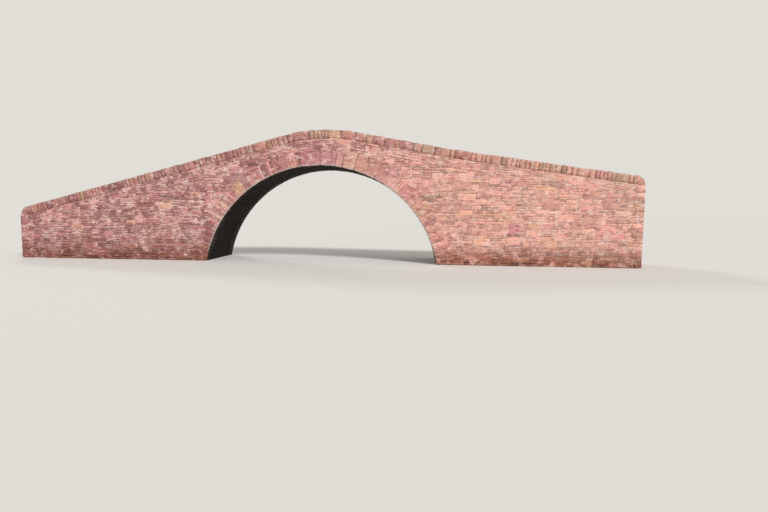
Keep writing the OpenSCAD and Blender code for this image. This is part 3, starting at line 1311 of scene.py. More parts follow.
@dataclass(frozen=True)
class LimeMortar(MasonryFinish):
    """Lime mortar with coarse sand: dull, pale and pitted, and dirty where it stays wet.

    The real pits are a few millimetres wide and too fine to show, so they are drawn 22 mm wide. The
    mortar is gone in patches, fewer towards the right; each open joint is painted dark as its shade.
    """

    # Near the foot the mortar is painted almost black: damp, and the painted shade of open joints
    damp_colour: str = "#38251e"
    damp_height: float = 0.75
    damp: float = 0.92
    base: str = "#fbdcd0"
    dirt_and_gap_shade: str = "#683226"
    pit_mm: float = 22.0
    loss_mm: float = 260.0
    kept: float = 0.485
    loss_edge: float = 0.04
    open_joint_shade_strength: float = 0.85
    pitting: float = 0.6
    gap_shade_at_right: float = 0.72
    gap_shade_fade_span: Pair = (1.0, 6.0)

    def colour(self, ground: Ground) -> Socket:
        """Adds the mortar's sandy colour, the painted shade of its open joints with their dirt, and its
        pits.

        Args:
            ground: The material.

        Returns:
            The colour.
        """
        low, high = self.kept - self.loss_edge, self.kept + self.loss_edge
        open_joint_shade_mask = Patches(self.loss_mm, low, high, detail=5.0).share(ground)
        pitted = Patches(self.pit_mm, 0.52, 0.7).share(ground)
        along = add_node(ground.tree, "ShaderNodeSeparateXYZ", {0: ground.place}).outputs[0]
        start, end = self.gap_shade_fade_span
        gap_shade_along = add_node(
            ground.tree, "ShaderNodeMapRange",
            {"Value": along, "From Min": start, "From Max": end, "To Min": 1.0, "To Max": self.gap_shade_at_right},
        ).outputs[0]
        # Painted shade: where the mortar is gone the open joint is painted dark, with its dirt, less of it
        # towards the right
        colour = coat(ground, self.base, self.dirt_and_gap_shade, open_joint_shade_mask, self.open_joint_shade_strength, gap_shade_along)
        return coat(ground, colour, self.dirt_and_gap_shade, pitted, self.pitting)

    def relief(self, ground: Ground) -> Socket:
        """Adds the pits.

        Args:
            ground: The material.

        Returns:
            The normal.
        """
        pits = Patches(self.pit_mm, 0.3, 0.7, detail=4.0).share(ground)
        return add_node(
            ground.tree, "ShaderNodeBump", {"Height": pits, "Strength": 0.7, "Distance": 0.01}
        ).outputs[0]


class Finish(Enum):
    """Every finish of the bridge, and what it gives the eye."""

    # Split rubble: matt broken faces in the colours of many beds
    WALL = Sandstone("red_sandstone_rubble", lichen=0.35)
    # Closely dressed: the same stone, with a painted highlight along the edge of the opening and painted
    # shade on its faces under the arch
    RING = Sandstone("red_sandstone_voussoirs", arris_highlight=0.85, soffit_shade=0.97)
    # Damp, and painted almost black all over as the shade under the arch
    VAULT = Sandstone("damp_sandstone_vault", soffit_shade=0.985, soffit_shade_from=1.5)
    # Open to all weathers: greyer, with a pale crust of lichen on top
    COPING = Sandstone(
        "lichened_sandstone_coping", lichen=0.6, crust=0.6,
        palette=("#a46a6d", "#b97c7a", "#c88880", "#d19285", "#d69e8b", "#cfa38a", "#c1a184", "#a17a68"),
    )
    # Worn by feet and hooves: dusty, with the beds rubbed broad
    COBBLE = Sandstone(
        "trodden_sandstone_cobbles", lichen=0.2, bed_mm=60.0,
        palette=("#8f7068", "#9c7d70", "#a98776", "#b0917f", "#9d8a79", "#8a7a6c", "#a59180", "#84695f"),
    )
    # Struck flush long ago: pale and sandy where it holds, painted dark as the shade of the open joint
    # where it is gone, and painted shade under the arch
    MORTAR = LimeMortar("lime_mortar", soffit_shade=0.97)
    # Rinsed by floods: mostly gone, the deep open joints painted dark as their shade, and painted shade
    # under the arch
    RING_MORTAR = LimeMortar("washed_out_lime_mortar", soffit_shade=0.985, kept=0.41)
    # Rained on from above: dull and grey brown
    COPING_MORTAR = LimeMortar("weathered_coping_mortar", base="#d6ab9c", dirt_and_gap_shade="#6d4a3e")
    # Lime trodden full of soil: a dull brown between the cobbles
    BEDDING = LimeMortar("earth_and_lime_bedding", base="#8d7a66", dirt_and_gap_shade="#57483b")


Finishes = dict[Finish, bpy.types.Material]


@dataclass
class Corner:
    """One corner of the bridge: its quoins up to the parapet, and the pier that ends the parapet.

    A quoin is given by its lowest course, the course above it, and its lengths along X and Y.
    """

    quoins: list[tuple[int, int, float, float]]
    pier_bed: int
    pier_length: float = 0.36


@dataclass
class SettingOut:
    """The courses that run round the bridge, and the stones at its corners that they stop against."""

    size: BridgeSize
    coursing: Coursing = field(default_factory=Coursing)
    seed: int = 11
    base: float = 0.006
    joint: float = 0.014
    string_depth: float = 0.72
    parapet_courses: int = 4
    long_stretch: Pair = (0.36, 0.46)
    short_stretch: Pair = (0.22, 0.28)
    least_quoin: float = 0.12
    levels: np.ndarray = field(init=False)
    parapet_levels: np.ndarray = field(init=False)
    corners: dict[tuple[Hand, Side], Corner] = field(init=False)

    def __post_init__(self) -> None:
        """Draws the beds and the corners."""
        rng = np.random.default_rng(self.seed)
        self.levels = self.coursing.heights(self.base, self.size.summit, rng)
        steps = rng.uniform(*self.coursing.course, self.parapet_courses)
        steps *= (self.string_depth - self.size.coping_height) / steps.sum()
        self.parapet_levels = np.concatenate([[0.0], np.cumsum(steps)]) - self.string_depth
        self.corners = {(hand, side): self._corner(hand, rng) for hand in Hand for side in Side}

    def _corner(self, hand: Hand, rng: Chance) -> Corner:
        """Draws the quoins of a corner, long and short in turn.

        Args:
            hand: Which end the corner is at.
            rng: The source of chance.

        Returns:
            The corner.
        """
        top = float(self.size.line(hand.value * self.size.half_length, self.string_depth))
        quoins = []
        low, turn = 0, int(rng.integers(2))
        while True:
            high = low + 1
            while self.levels[high] - self.levels[low] < self.least_quoin:
                high += 1
            if self.levels[high] > top:
                return Corner(quoins, low)
            lengths = [rng.uniform(*self.long_stretch), rng.uniform(*self.short_stretch)]
            if turn % 2:
                lengths.reverse()
            quoins.append((low, high, *lengths))
            low, turn = high, turn + 1

    def reserved(self, corner: Corner, axis: int, pier: float) -> Iterator[tuple[int, float]]:
        """Gives, for each course, the length that a corner's stones take of it.

        Args:
            corner: The corner.
            axis: 0 for the length along X and 1 for the length along Y.
            pier: The length that the pier takes.

        Yields:
            The course's number and the length.
        """
        for low, high, *lengths in corner.quoins:
            for row in range(low, high):
                yield row, lengths[axis]
        for row in range(corner.pier_bed, len(self.levels)):
            yield row, pier


@dataclass
class SubAssembly:
    """What every sub-assembly has: the size, the finishes, the tree of its stones, and its own chance."""

    size: BridgeSize
    finishes: Finishes
    tree: StoneTree
    seed: int
    rng: Chance = field(init=False)

    def __post_init__(self) -> None:
        """Starts the chance."""
        self.rng = np.random.default_rng(self.seed)

    def piece(self, name: str, stones: Sequence[Any], finish: Finish, slot: Slot, **sizes: float) -> Piece:
        """Makes a piece of stones.

        Args:
            name: The piece's name, in any case.
            stones: The stones.
            finish: Their finish.
            slot: Their material slot.
            **sizes: Values for the tree's inputs, with spaces written as underscores.

        Returns:
            The piece.
        """
        thing = self.tree.build(name.lower(), stones, self.finishes[finish], self.seed, **sizes)
        return Piece(thing, slot)


@dataclass
class SideFace(SubAssembly):
    """One long face: rubble in level courses up to the parapet, which stop at the arch and the quoins."""

    setting: SettingOut
    ring: "ArchRing"
    side: Side

    def build(self) -> list[Piece]:
        """Builds the stones of the face's left and right halves.

        Returns:
            Both pieces.
        """
        quarry = Quarry(self.rng)
        half = self.size.half_length
        beds = Beds.drawn(self.setting.levels, -half, half, self.rng)
        reserved = []
        for hand in Hand:
            corner = self.setting.corners[hand, self.side]
            for row, length in self.setting.reserved(corner, 0, corner.pier_length):
                ends = sorted((hand.value * half, hand.value * (half - length)))
                reserved.append((row, *ends))
        face = Face.of_side(self.side.value * self.size.half_width, self.side.value)
        halves: dict[Hand, list[tuple[Stone, Face]]] = {hand: [] for hand in Hand}
        coursing = self.setting.coursing
        large = FRONT_BLOCKS if self.side is Side.FRONT else ()
        for big, outline, taken in coursing.lay_big(beds, large):
            reserved += taken
            halves[Hand.at(big.x)].append((quarry.block(self._trimmed(outline), big), face))
        for outline in map(self._trimmed, coursing.lay(beds, reserved)):
            if worth_laying(outline):
                halves[Hand.at(outline[:, 0].mean())].append((quarry.stone(outline), face))
        return [
            self.piece(f"{self.side.name}_{hand.name}_wall_stones", stones, Finish.WALL, Slot.WALL)
            for hand, stones in halves.items()
        ]

    def _trimmed(self, outline: Outline) -> Outline:
        """Cuts an outline off at the parapet's lowest bed and at the backs of the voussoirs.

        Args:
            outline: The outline.

        Returns:
            What stays of it.
        """
        gap = self.setting.joint / 2
        x = float(outline[:, 0].mean())
        turn = self.size.slope(x, self.setting.string_depth)
        on_line = (x, float(self.size.line(x, self.setting.string_depth)) - gap)
        outline = clip(outline, on_line, (math.sin(turn), -math.cos(turn)))
        if not len(outline):
            return outline
        ways = outline - np.array([0.0, self.size.arch_centre])
        way = ways.mean(0)
        angles = np.arctan2(ways[:, 1], ways[:, 0])
        back = self.ring.back(angles.min(), angles.max())
        return clip(outline, self.size.on_arch(back + gap, math.atan2(way[1], way[0])), way)


@dataclass
class Parapet(SubAssembly):
    """One parapet's stones, outside and inside, in courses that follow the coping between the piers."""

    setting: SettingOut
    side: Side
    wander: float = 0.006

    def build(self) -> list[Piece]:
        """Builds the parapet's stones.

        Returns:
            The piece.
        """
        quarry = Quarry(self.rng)
        out = self.side.value
        stones = []
        for face, lowest in (
            (Face.of_side(out * self.size.half_width, out), self.setting.string_depth),
            (Face.of_side(out * self.size.clear_half_width, -out), self.size.path_depth),
        ):
            half, coursing = self.size.half_length, self.setting.coursing
            beds = Beds.drawn(self.setting.parapet_levels, -half, half, self.rng, reach=self.wander)
            outside_front = self.side is Side.FRONT and lowest > self.size.path_depth
            reserved = []
            large = FRONT_PARAPET_BLOCKS if outside_front else ()
            for big, outline, taken in coursing.lay_big(beds, large):
                reserved += taken
                stones.append((quarry.block(self._bent(outline), big), face))
            for outline in coursing.lay(beds, reserved):
                outline = self._bent(clip(outline, (0.0, -lowest), (0.0, 1.0)))
                if worth_laying(outline):
                    stones.append((quarry.stone(outline), face))
        return [self.piece(f"{self.side.name}_parapet_stones", stones, Finish.WALL, Slot.WALL)]

    def _bent(self, outline: Outline) -> Outline:
        """Bends an outline of places and depths along the coping, and cuts it off at the piers.

        Args:
            outline: The outline, with the negative depth as its second axis.

        Returns:
            The outline on the face, or no points where nothing of it stays.
        """
        bent = np.array([self.size.under_coping(x, -v) for x, v in outline]).reshape(-1, 2)
        for hand in Hand:
            pier = self.setting.corners[hand, self.side].pier_length
            end = hand.value * (self.size.half_length - pier - self.setting.joint / 2)
            bent = clip(bent, (end, 0.0), (-hand.value, 0.0))
        return bent


@dataclass
class EndFace(SubAssembly):
    """The wall across one end: level courses between the quoins, up to a threshold under the path."""

    setting: SettingOut
    hand: Hand
    threshold: float = 0.12

    def build(self) -> list[Piece]:
        """Builds the end's stones.

        Returns:
            The piece.
        """
        quarry = Quarry(self.rng)
        half, clear = self.size.half_width, self.size.clear_half_width
        end = self.hand.value * self.size.half_length
        path = float(self.size.line(end, self.size.path_depth))
        beds = Beds.drawn(self.setting.levels, -half, half, self.rng)
        reserved = []
        for side in Side:
            corner = self.setting.corners[self.hand, side]
            for row, length in self.setting.reserved(corner, 1, self.size.wall_thickness):
                reserved.append((row, *sorted((side.value * half, side.value * (half - length)))))
        gap = self.setting.joint / 2
        outlines = [
            clip(outline, (0.0, path - self.threshold - gap), (0.0, -1.0))
            for outline in self.setting.coursing.lay(beds, reserved)
        ]
        sills = Beds.drawn(np.array([path - self.threshold, path]), -clear, clear, self.rng, reach=0.0)
        slabs = Coursing(shape_spread=0.2, block_share=(0.0, 0.0), split_share=0.0)
        outlines += slabs.lay(sills)
        face = Face.of_end(self.hand, self.size)
        stones = [(quarry.stone(outline, x=end), face) for outline in outlines if worth_laying(outline)]
        return [self.piece(f"{self.hand.name}_end_wall_stones", stones, Finish.WALL, Slot.WALL)]


@dataclass
class Quoins(SubAssembly):
    """The squared stones at the two corners of one end, and the piers above them."""

    setting: SettingOut
    hand: Hand
    proud: float = 0.014
    proud_spread: Pair = (-0.005, 0.006)
    twist: float = 0.008
    pier_stones: int = 3
    pier_slack: float = 0.01
    bed_slack: float = 0.02

    def build(self) -> list[Piece]:
        """Builds the quoins and piers of one end.

        Returns:
            The piece.
        """
        quarry = Quarry(self.rng)
        joint = self.setting.joint
        blocks = []
        for side in Side:
            for low, high, along, across in self._stones(self.setting.corners[self.hand, side]):
                proud = self.proud + self.rng.uniform(*self.proud_spread)
                size = (along + proud - joint / 2, across + proud - joint / 2, high - low - joint)
                x = self.hand.value * (self.size.half_length + proud - size[0] / 2)
                y = side.value * (self.size.half_width + proud - size[1] / 2)
                tint, tone = quarry.colour(x, low)
                turn = (0.0, 0.0, self.rng.normal(0, self.twist))
                blocks.append(Block((x, y, (low + high) / 2), turn, size, tint, tone))
        worked = {"Squareness": 11.0, "Roughness": 0.02, "Steps": 5}
        return [self.piece(f"{self.hand.name}_quoins", blocks, Finish.WALL, Slot.WALL, **worked)]

    def _stones(self, corner: Corner) -> Iterator[tuple[float, float, float, float]]:
        """Sets out a corner's quoins and the stones of its pier, from the foot up.

        Args:
            corner: The corner.

        Yields:
            The heights of the beds below and above each stone, and its lengths along X and Y.
        """
        levels = self.setting.levels
        for low, high, along, across in corner.quoins:
            yield levels[low], levels[high], along, across
        top = float(self.size.pivot(self.hand)[1])
        cuts = np.linspace(levels[corner.pier_bed], top, self.pier_stones + 1)
        cuts[1:-1] += self.rng.uniform(-self.bed_slack, self.bed_slack, self.pier_stones - 1)
        for low, high in zip(cuts, cuts[1:]):
            along = corner.pier_length - self.rng.uniform(0.0, self.pier_slack)
            yield low, high, along, self.size.wall_thickness + self.proud


@dataclass(frozen=True)
class BigVoussoir:
    """A large stone that stands out in a ring: its place, size, place in the palette and brightness.

    The place is its right joint, as a length from the crown to the right along the arch's underside.
    """

    place: float
    width: float
    depth: float
    tint: float
    tone: float = 1.0


# Large stones of the front ring, from right to left
FRONT_VOUSSOIRS = tuple(BigVoussoir(*stone) for stone in (
    (4.66, 0.34, 0.62, 0.85, 0.96),
    (3.80, 0.48, 0.58, 0.36, 1.04),
    (3.10, 0.46, 0.60, 0.46, 1.04),
    (2.64, 0.40, 0.57, 0.42, 0.90),
    (2.24, 0.39, 0.71, 0.50, 0.87),
    (1.85, 0.49, 0.70, 0.56, 0.88),
    (1.36, 0.49, 0.69, 0.72, 0.92),
    (0.87, 0.27, 0.62, 0.34, 1.02),
    (0.60, 0.18, 0.70, 0.20, 1.08),
    (0.42, 0.42, 0.52, 0.18, 1.05),
    (0.00, 0.75, 0.53, 0.13, 1.04),
    (-0.93, 0.25, 0.62, 0.40, 1.06),
    (-2.13, 0.17, 0.48, 0.05, 0.62),
    (-2.50, 0.46, 0.46, 0.26, 1.02),
    (-3.20, 0.40, 0.56, 0.92, 1.10),
))


@dataclass(frozen=True)
class Voussoir:
    """One radial stone of a ring: its two angles about the arch's centre and the radius of its back."""

    start: float
    end: float
    back: float
    big: BigVoussoir | None = None


@dataclass
class ArchRing(SubAssembly):
    """The ring of voussoirs on one face, with the level springers at its feet.

    The stones are thin, but for a stretch over the crown, and their backs run unevenly into the wall.
    """

    side: Side
    thin: Pair = (0.055, 0.13)
    thick: Pair = (0.22, 0.58)
    thick_share: float = 0.04
    crown_share: float = 0.8
    crown_stretch: Pair = (math.radians(64), math.radians(96))
    joint: float = 0.015
    haunch_reach: float = 0.12
    back_spread: float = 0.09
    haunch_spread: float = 0.12
    split_share: float = 0.16
    split_at: Pair = (0.4, 0.65)
    proud_soffit: float = 0.010
    soffit_slack: float = 0.004
    corner: float = 0.16
    springer_corner: float = 0.12
    unevenness: float = 0.006
    springer_beds: Pair = (0.006, 0.138)
    voussoirs: list[Voussoir] = field(init=False)

    def __post_init__(self) -> None:
        """Starts the chance and sets out the voussoirs."""
        super().__post_init__()
        self.voussoirs = list(self._set_out())

    def _set_out(self) -> Iterator[Voussoir]:
        """Sets out the voussoirs from the right springer over the crown to the left one.

        Yields:
            Each voussoir.
        """
        radius = self.size.arch_radius
        angle, foot = self.size.springing, math.pi - self.size.springing
        for big in (*(FRONT_VOUSSOIRS if self.side is Side.FRONT else ()), None):
            stop = math.pi / 2 - big.place / radius if big else foot
            while angle < stop:
                near_crown = self.crown_stretch[0] < angle < self.crown_stretch[1]
                wide = self.rng.random() < (self.crown_share if near_crown else self.thick_share)
                after = angle + self.rng.uniform(*(self.thick if wide else self.thin)) / radius
                if stop - after < self.thin[0] / radius:
                    after = stop
                slack = self.back_spread + self.haunch_spread * math.cos(angle) ** 2
                back = self._longest((angle + after) / 2) - self.rng.uniform(0.0, slack)
                yield Voussoir(angle, after, back)
                angle = after
            if big:
                angle = stop + big.width / radius
                yield Voussoir(stop, angle, radius + big.depth, big)

    def _longest(self, angle: float) -> float:
        """Radius of the back of the longest stones, which reach further at the haunches."""
        return self.size.arch_radius + self.size.ring_depth + self.haunch_reach * math.cos(angle) ** 2

    def back(self, start: float, end: float) -> float:
        """Finds how far out the wall beside the ring may start.

        Args:
            start: The lower angle about the arch's centre.
            end: The higher one.

        Returns:
            The radius of the lowest back between the angles.
        """
        between = [v.back for v in self.voussoirs if v.start < end and v.end > start]
        return min(between, default=self._longest(start))

    def build(self) -> list[Piece]:
        """Builds the ring's voussoirs.

        Returns:
            The piece.
        """
        quarry = Quarry(self.rng, tone_spread=0.26, proud=(0.008, 0.020))
        out = self.side.value
        face = Face.of_side(out * self.size.half_width, out, embedded=self.size.ring_thickness)
        stones = [
            (quarry.block(outline, big) if big else quarry.stone(outline), face)
            for outline, big in (*self._springers(), *self._outlines()) if worth_laying(outline)
        ]
        return [self.piece(f"{self.side.name}_voussoirs", stones, Finish.RING, Slot.ARCH, Roughness=0.014)]

    def _springers(self) -> Iterator[tuple[Outline, None]]:
        """Draws two level courses at each foot, which end against the underside of the arch.

        Yields:
            Each stone's outline, and no large stone.
        """
        cuts = (*self.springer_beds, self.size.springer_height)
        for hand in Hand:
            for low, high in zip(cuts, cuts[1:]):
                corners = []
                for z, order in ((low + self.joint / 2, 1), (high - self.joint / 2, -1)):
                    angle = math.asin((z - self.size.arch_centre) / self.size.arch_radius)
                    inner = self.size.arch_radius * math.cos(angle) - self.proud_soffit
                    outer = self._longest(angle) * math.cos(angle)
                    corners += [(hand.value * x, z) for x in (inner, outer)[::order]]
                yield knapped(np.array(corners), self.springer_corner, self.unevenness, self.rng), None

    def _outlines(self) -> Iterator[tuple[Outline, BigVoussoir | None]]:
        """Draws each voussoir, or now and then a pair that shares its place.

        Yields:
            Each stone's outline, and the large stone that it is.
        """
        half_joint = self.joint / 2
        for voussoir in self.voussoirs:
            inner = self.size.arch_radius - self.proud_soffit - self.rng.uniform(0, self.soffit_slack)
            radii = [inner, voussoir.back]
            if self.rng.random() < self.split_share and not voussoir.big:
                radii.insert(1, inner + (voussoir.back - inner) * self.rng.uniform(*self.split_at))
            for low, high in zip(radii, radii[1:]):
                corners = []
                for radius, order in (
                    (low + half_joint * (low > inner), 1), (high - half_joint * (high < voussoir.back), -1)
                ):
                    gap = half_joint / radius
                    angles = (voussoir.start + gap, voussoir.end - gap)[::order]
                    corners += [self.size.on_arch(radius, angle) for angle in angles]
                outline = knapped(np.array(corners), self.corner, self.unevenness, self.rng)
                foot = (0.0, self.size.springer_height + half_joint)
                yield clip(outline, foot, (0.0, 1.0)), voussoir.big


@dataclass
class Vault(SubAssembly):
    """The underside of the arch between the two rings, in courses along the bridge's width."""

    margin: float = 0.01
    wander: float = 0.006

    def build(self) -> list[Piece]:
        """Builds the vault's stones.

        Returns:
            The piece.
        """
        quarry = Quarry(self.rng, proud=(0.006, 0.016))
        coursing = Coursing(course=(0.07, 0.13), joint=0.014, block_share=(0.05, 0.05))
        radius = self.size.arch_radius
        length = (math.pi - 2 * self.size.springing) * radius - 2 * self.margin
        steps = self.rng.uniform(*coursing.course, round(2 * length / sum(coursing.course)))
        heights = self.margin + np.concatenate([[0.0], np.cumsum(steps)]) * length / steps.sum()
        clear = self.size.half_width - self.size.ring_thickness
        beds = Beds.drawn(heights, -clear, clear, self.rng, reach=self.wander)
        face = VaultFace(self.size)
        stones = []
        for outline in coursing.lay(beds):
            place = self.size.on_arch(radius, self.size.springing + outline[:, 1].mean() / radius)
            stones.append((quarry.stone(outline, *place), face))
        return [self.piece("vault_stones", stones, Finish.VAULT, Slot.ARCH)]


@dataclass(frozen=True)
class BigCopingStone:
    """A long stone that stands out in a coping: left end, length, place in the palette and brightness."""

    start: float
    length: float
    tint: float
    tone: float = 1.0


# Long stones of the front coping, from left to right
FRONT_COPING = tuple(BigCopingStone(*stone) for stone in (
    (-2.66, 0.52, 0.34, 1.05),
    (-1.09, 0.66, 0.24, 1.00),
    (0.80, 0.52, 0.34, 1.06),
    (1.33, 0.48, 0.28, 1.02),
    (2.50, 0.56, 0.26, 0.98),
    (3.07, 0.60, 0.22, 0.98),
    (3.98, 0.52, 0.90, 1.16),
    (5.25, 0.66, 0.30, 0.96),
))


@dataclass
class Coping(SubAssembly):
    """One parapet's coping: stones set on edge in a bed of mortar, fanned round at both ends.

    Here and there, and more often right of the crown, a long stone takes the place of a few of them.
    """

    side: Side
    thickness: Pair = (0.09, 0.24)
    long: Pair = (0.36, 0.70)
    long_share: float = 0.04
    long_stretch: Pair = (0.7, 5.0)
    stretch_share: float = 0.25
    buff_stretch: Pair = (-0.4, 0.65)
    buff: Pair = (0.6, 0.88)
    width: Pair = (0.41, 0.44)
    height_spread: Pair = (-0.022, 0.006)
    out_of_line: float = 0.005
    unsteady: tuple[float, float, float] = (0.010, 0.02, 0.012)
    joint: float = 0.012
    sunk: float = 0.015
    fan: int = 4
    fan_spread: Pair = (-0.012, 0.006)
    fan_twist: float = 0.015
    bed_inset: float = 0.028
    bed_points: int = 120
    bed_fan_points: int = 9

    def build(self) -> list[Piece]:
        """Builds the coping's stones and their mortar.

        Returns:
            Both pieces.
        """
        quarry = Quarry(self.rng, spread=0.2, tone_spread=0.08)
        blocks = [*self._run(quarry), *(block for hand in Hand for block in self._fan(hand, quarry))]
        name = self.side.name.lower()
        rough = {"Squareness": 8.0, "Roughness": 0.026}
        stones = self.piece(f"{name}_coping_stones", blocks, Finish.COPING, Slot.COPING, **rough)
        parts = (
            "left_coping", "crown_coping", "right_coping", "right_wing_coping",
            "left_end_stone", "right_end_stone",
        )
        stones.stands_for = tuple(f"{name}_{part}" for part in parts)
        return [stones, Piece(self._mortar(f"{name}_coping_mortar"), Slot.CORE)]

    def _set_out(self) -> Iterator[tuple[float, float, BigCopingStone | None]]:
        """Sets out the stones from one pivot to the other.

        Yields:
            Where each stone starts and ends along the bridge, and the long stone that it is.
        """
        x, end = (float(self.size.pivot(hand)[0]) for hand in (Hand.LEFT, Hand.RIGHT))
        for big in (*(FRONT_COPING if self.side is Side.FRONT else ()), None):
            stop = big.start if big else end
            while stop - x > self.thickness[0] / 2:
                often = self.long_stretch[0] < x < self.long_stretch[1]
                long = self.rng.random() < (self.stretch_share if often else self.long_share)
                length = self.rng.uniform(*(self.long if long else self.thickness))
                after = x + length * math.cos(self.size.slope(x, self.size.coping_height))
                if stop - after < self.thickness[0] / 2:
                    after = stop
                yield x, after, None
                x = after
            if big:
                x = stop + big.length
                yield stop, x, big

    def _run(self, quarry: Quarry) -> Iterator[Block]:
        """Sets the stones from one pivot to the other.

        Args:
            quarry: Where the stones come from.

        Yields:
            Each stone.
        """
        depth = self.size.coping_height
        for x, after, big in self._set_out():
            middle = (x + after) / 2
            turn = self.size.slope(middle, depth)
            height = depth + self.sunk + self.rng.uniform(*self.height_spread)
            lift = height / 2 - self.sunk
            foot = float(self.size.line(middle, depth))
            tint, tone = quarry.colour(middle, foot)
            if big:
                tint, tone = big.tint, big.tone
            elif self.buff_stretch[0] < middle < self.buff_stretch[1]:
                tint = self.rng.uniform(*self.buff)
            y = self.side.value * self.size.parapet_middle + self.rng.normal(0, self.out_of_line)
            place = (middle - lift * math.sin(turn), y, foot + lift * math.cos(turn))
            turns = self.rng.normal((0.0, -turn, 0.0), self.unsteady)
            size = ((after - x) / math.cos(turn) - self.joint, self.rng.uniform(*self.width), height)
            yield Block(place, turns, size, tint, tone)

    def _fan(self, hand: Hand, quarry: Quarry) -> Iterator[Block]:
        """Sets the stones that turn the coping down round a pivot.

        Args:
            hand: Which end it is.
            quarry: Where the stones come from.

        Yields:
            Each stone.
        """
        pivot = self.size.pivot(hand)
        first, last = self._fan_angles(hand)
        step = (last - first) / self.fan
        for i in range(self.fan):
            angle = first + (i + 0.5) * step
            reach = self.size.coping_height + self.rng.uniform(*self.fan_spread)
            tint, tone = quarry.colour(*pivot)
            x, z = pivot + reach / 2 * np.array([math.cos(angle), math.sin(angle)])
            place = (x, self.side.value * self.size.parapet_middle, z)
            turns = (0.0, math.pi / 2 - angle, self.rng.normal(0, self.fan_twist))
            size = (abs(step) * reach - self.joint, self.rng.uniform(*self.width), reach)
            yield Block(place, turns, size, tint, tone)

    def _fan_angles(self, hand: Hand) -> Pair:
        """Gives the angles of a fan's upright and level sides, seen from its pivot."""
        upright = math.pi / 2 + self.size.slope(self.size.pivot(hand)[0], self.size.coping_height)
        return upright, math.pi if hand is Hand.LEFT else 0.0

    def _mortar(self, name: str) -> bpy.types.Object:
        """Builds the mortar between the stones, a little inside their faces.

        Args:
            name: The piece's name.

        Returns:
            The piece.
        """
        size, inset = self.size, self.bed_inset
        xs = np.linspace(size.pivot(Hand.LEFT)[0], size.pivot(Hand.RIGHT)[0], self.bed_points)
        foot = [(x, float(size.line(x, size.coping_height)) - self.sunk) for x in xs]
        crest = [(x, float(size.line(x, inset))) for x in xs[1:-1]]
        reach = size.coping_height - inset
        fans = {}
        for hand in Hand:
            pivot = size.pivot(hand)
            angles = np.linspace(*self._fan_angles(hand), self.bed_fan_points)
            fans[hand] = [(pivot[0] + reach * math.cos(a), pivot[1] + reach * math.sin(a)) for a in angles]
        outline = foot + fans[Hand.RIGHT][::-1] + crest[::-1] + fans[Hand.LEFT]
        near = self.side.value * size.parapet_middle - size.wall_thickness / 2 + inset
        far = near + size.wall_thickness - 2 * inset
        count = len(outline)
        faces = [range(count), range(2 * count - 1, count - 1, -1)]
        for i in range(count):
            after = (i + 1) % count
            faces.append((after, i, i + count, after + count))
        mesh = bpy.data.meshes.new(name)
        mesh.from_pydata([(x, y, z) for y in (near, far) for x, z in outline], [], faces)
        shape = bmesh.new()
        shape.from_mesh(mesh)
        bmesh.ops.triangulate(shape, faces=shape.faces[:])
        shape.to_mesh(mesh)
        shape.free()
        mesh.materials.append(self.finishes[Finish.COPING_MORTAR])
        return add_object(name, mesh)


@dataclass
class Path(SubAssembly):
    """The cobbled path between the parapets, in rows across it."""

    row: Pair = (0.115, 0.175)
    length: Pair = (0.12, 0.24)
    joint: float = 0.012
    height: float = 0.10
    rise: Pair = (0.016, 0.030)
    unsteady: tuple[float, float, float] = (0.04, 0.04, 0.05)
    margin: float = 0.02

    def build(self) -> list[Piece]:
        """Builds the cobbles of the left and the right half of the path.

        Returns:
            Both pieces.
        """
        quarry = Quarry(self.rng, spread=0.3)
        halves: dict[Hand, list[Block]] = {hand: [] for hand in Hand}
        end = self.size.half_length - self.margin
        for x, after in shared_out(-end, end, self.row, self.rng):
            halves[Hand.at(x)] += self._row(x, after, quarry)
        worn = {"Squareness": 3.6, "Steps": 3, "Roughness": 0.03, "Lumps_per_metre": 9.0}
        return [
            self.piece(f"{hand.name}_cobbles", blocks, Finish.COBBLE, Slot.PATH, **worn)
            for hand, blocks in halves.items()
        ]

    def _row(self, start: float, end: float, quarry: Quarry) -> list[Block]:
        """Sets one row of cobbles across the path.

        Args:
            start: Where the row starts along the bridge.
            end: Where it ends.
            quarry: Where the cobbles come from.

        Returns:
            The cobbles.
        """
        clear = self.size.clear_half_width - self.margin / 2
        middle = (start + end) / 2
        turn = self.size.slope(middle, self.size.path_depth)
        surface = float(self.size.line(middle, self.size.path_depth))
        length = (end - start) / math.cos(turn) - self.joint
        blocks = []
        for y, after in shared_out(-clear, clear, self.length, self.rng):
            tint, tone = quarry.colour(middle, y)
            place = (middle, (y + after) / 2, surface + self.rng.uniform(*self.rise) - self.height / 2)
            turns = self.rng.normal((0.0, -turn, 0.0), self.unsteady)
            blocks.append(Block(place, turns, (length, after - y - self.joint, self.height), tint, tone))
        return blocks


@dataclass
class Bedding:
    """The mortar and the earth in which the stones lie, which are the frame's own solids."""

    finishes: Finishes

    def dress(self) -> None:
        """Gives each solid of the frame its mortar or its bedding."""
        for name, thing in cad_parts.items():
            finish = Finish.MORTAR
            if name.endswith(("_path", "_fill", "_haunching")):
                finish = Finish.BEDDING
            elif name.startswith("arch_") or name.endswith("_arch_ring"):
                finish = Finish.RING_MORTAR
            thing.data.materials.clear()
            thing.data.materials.append(self.finishes[finish])


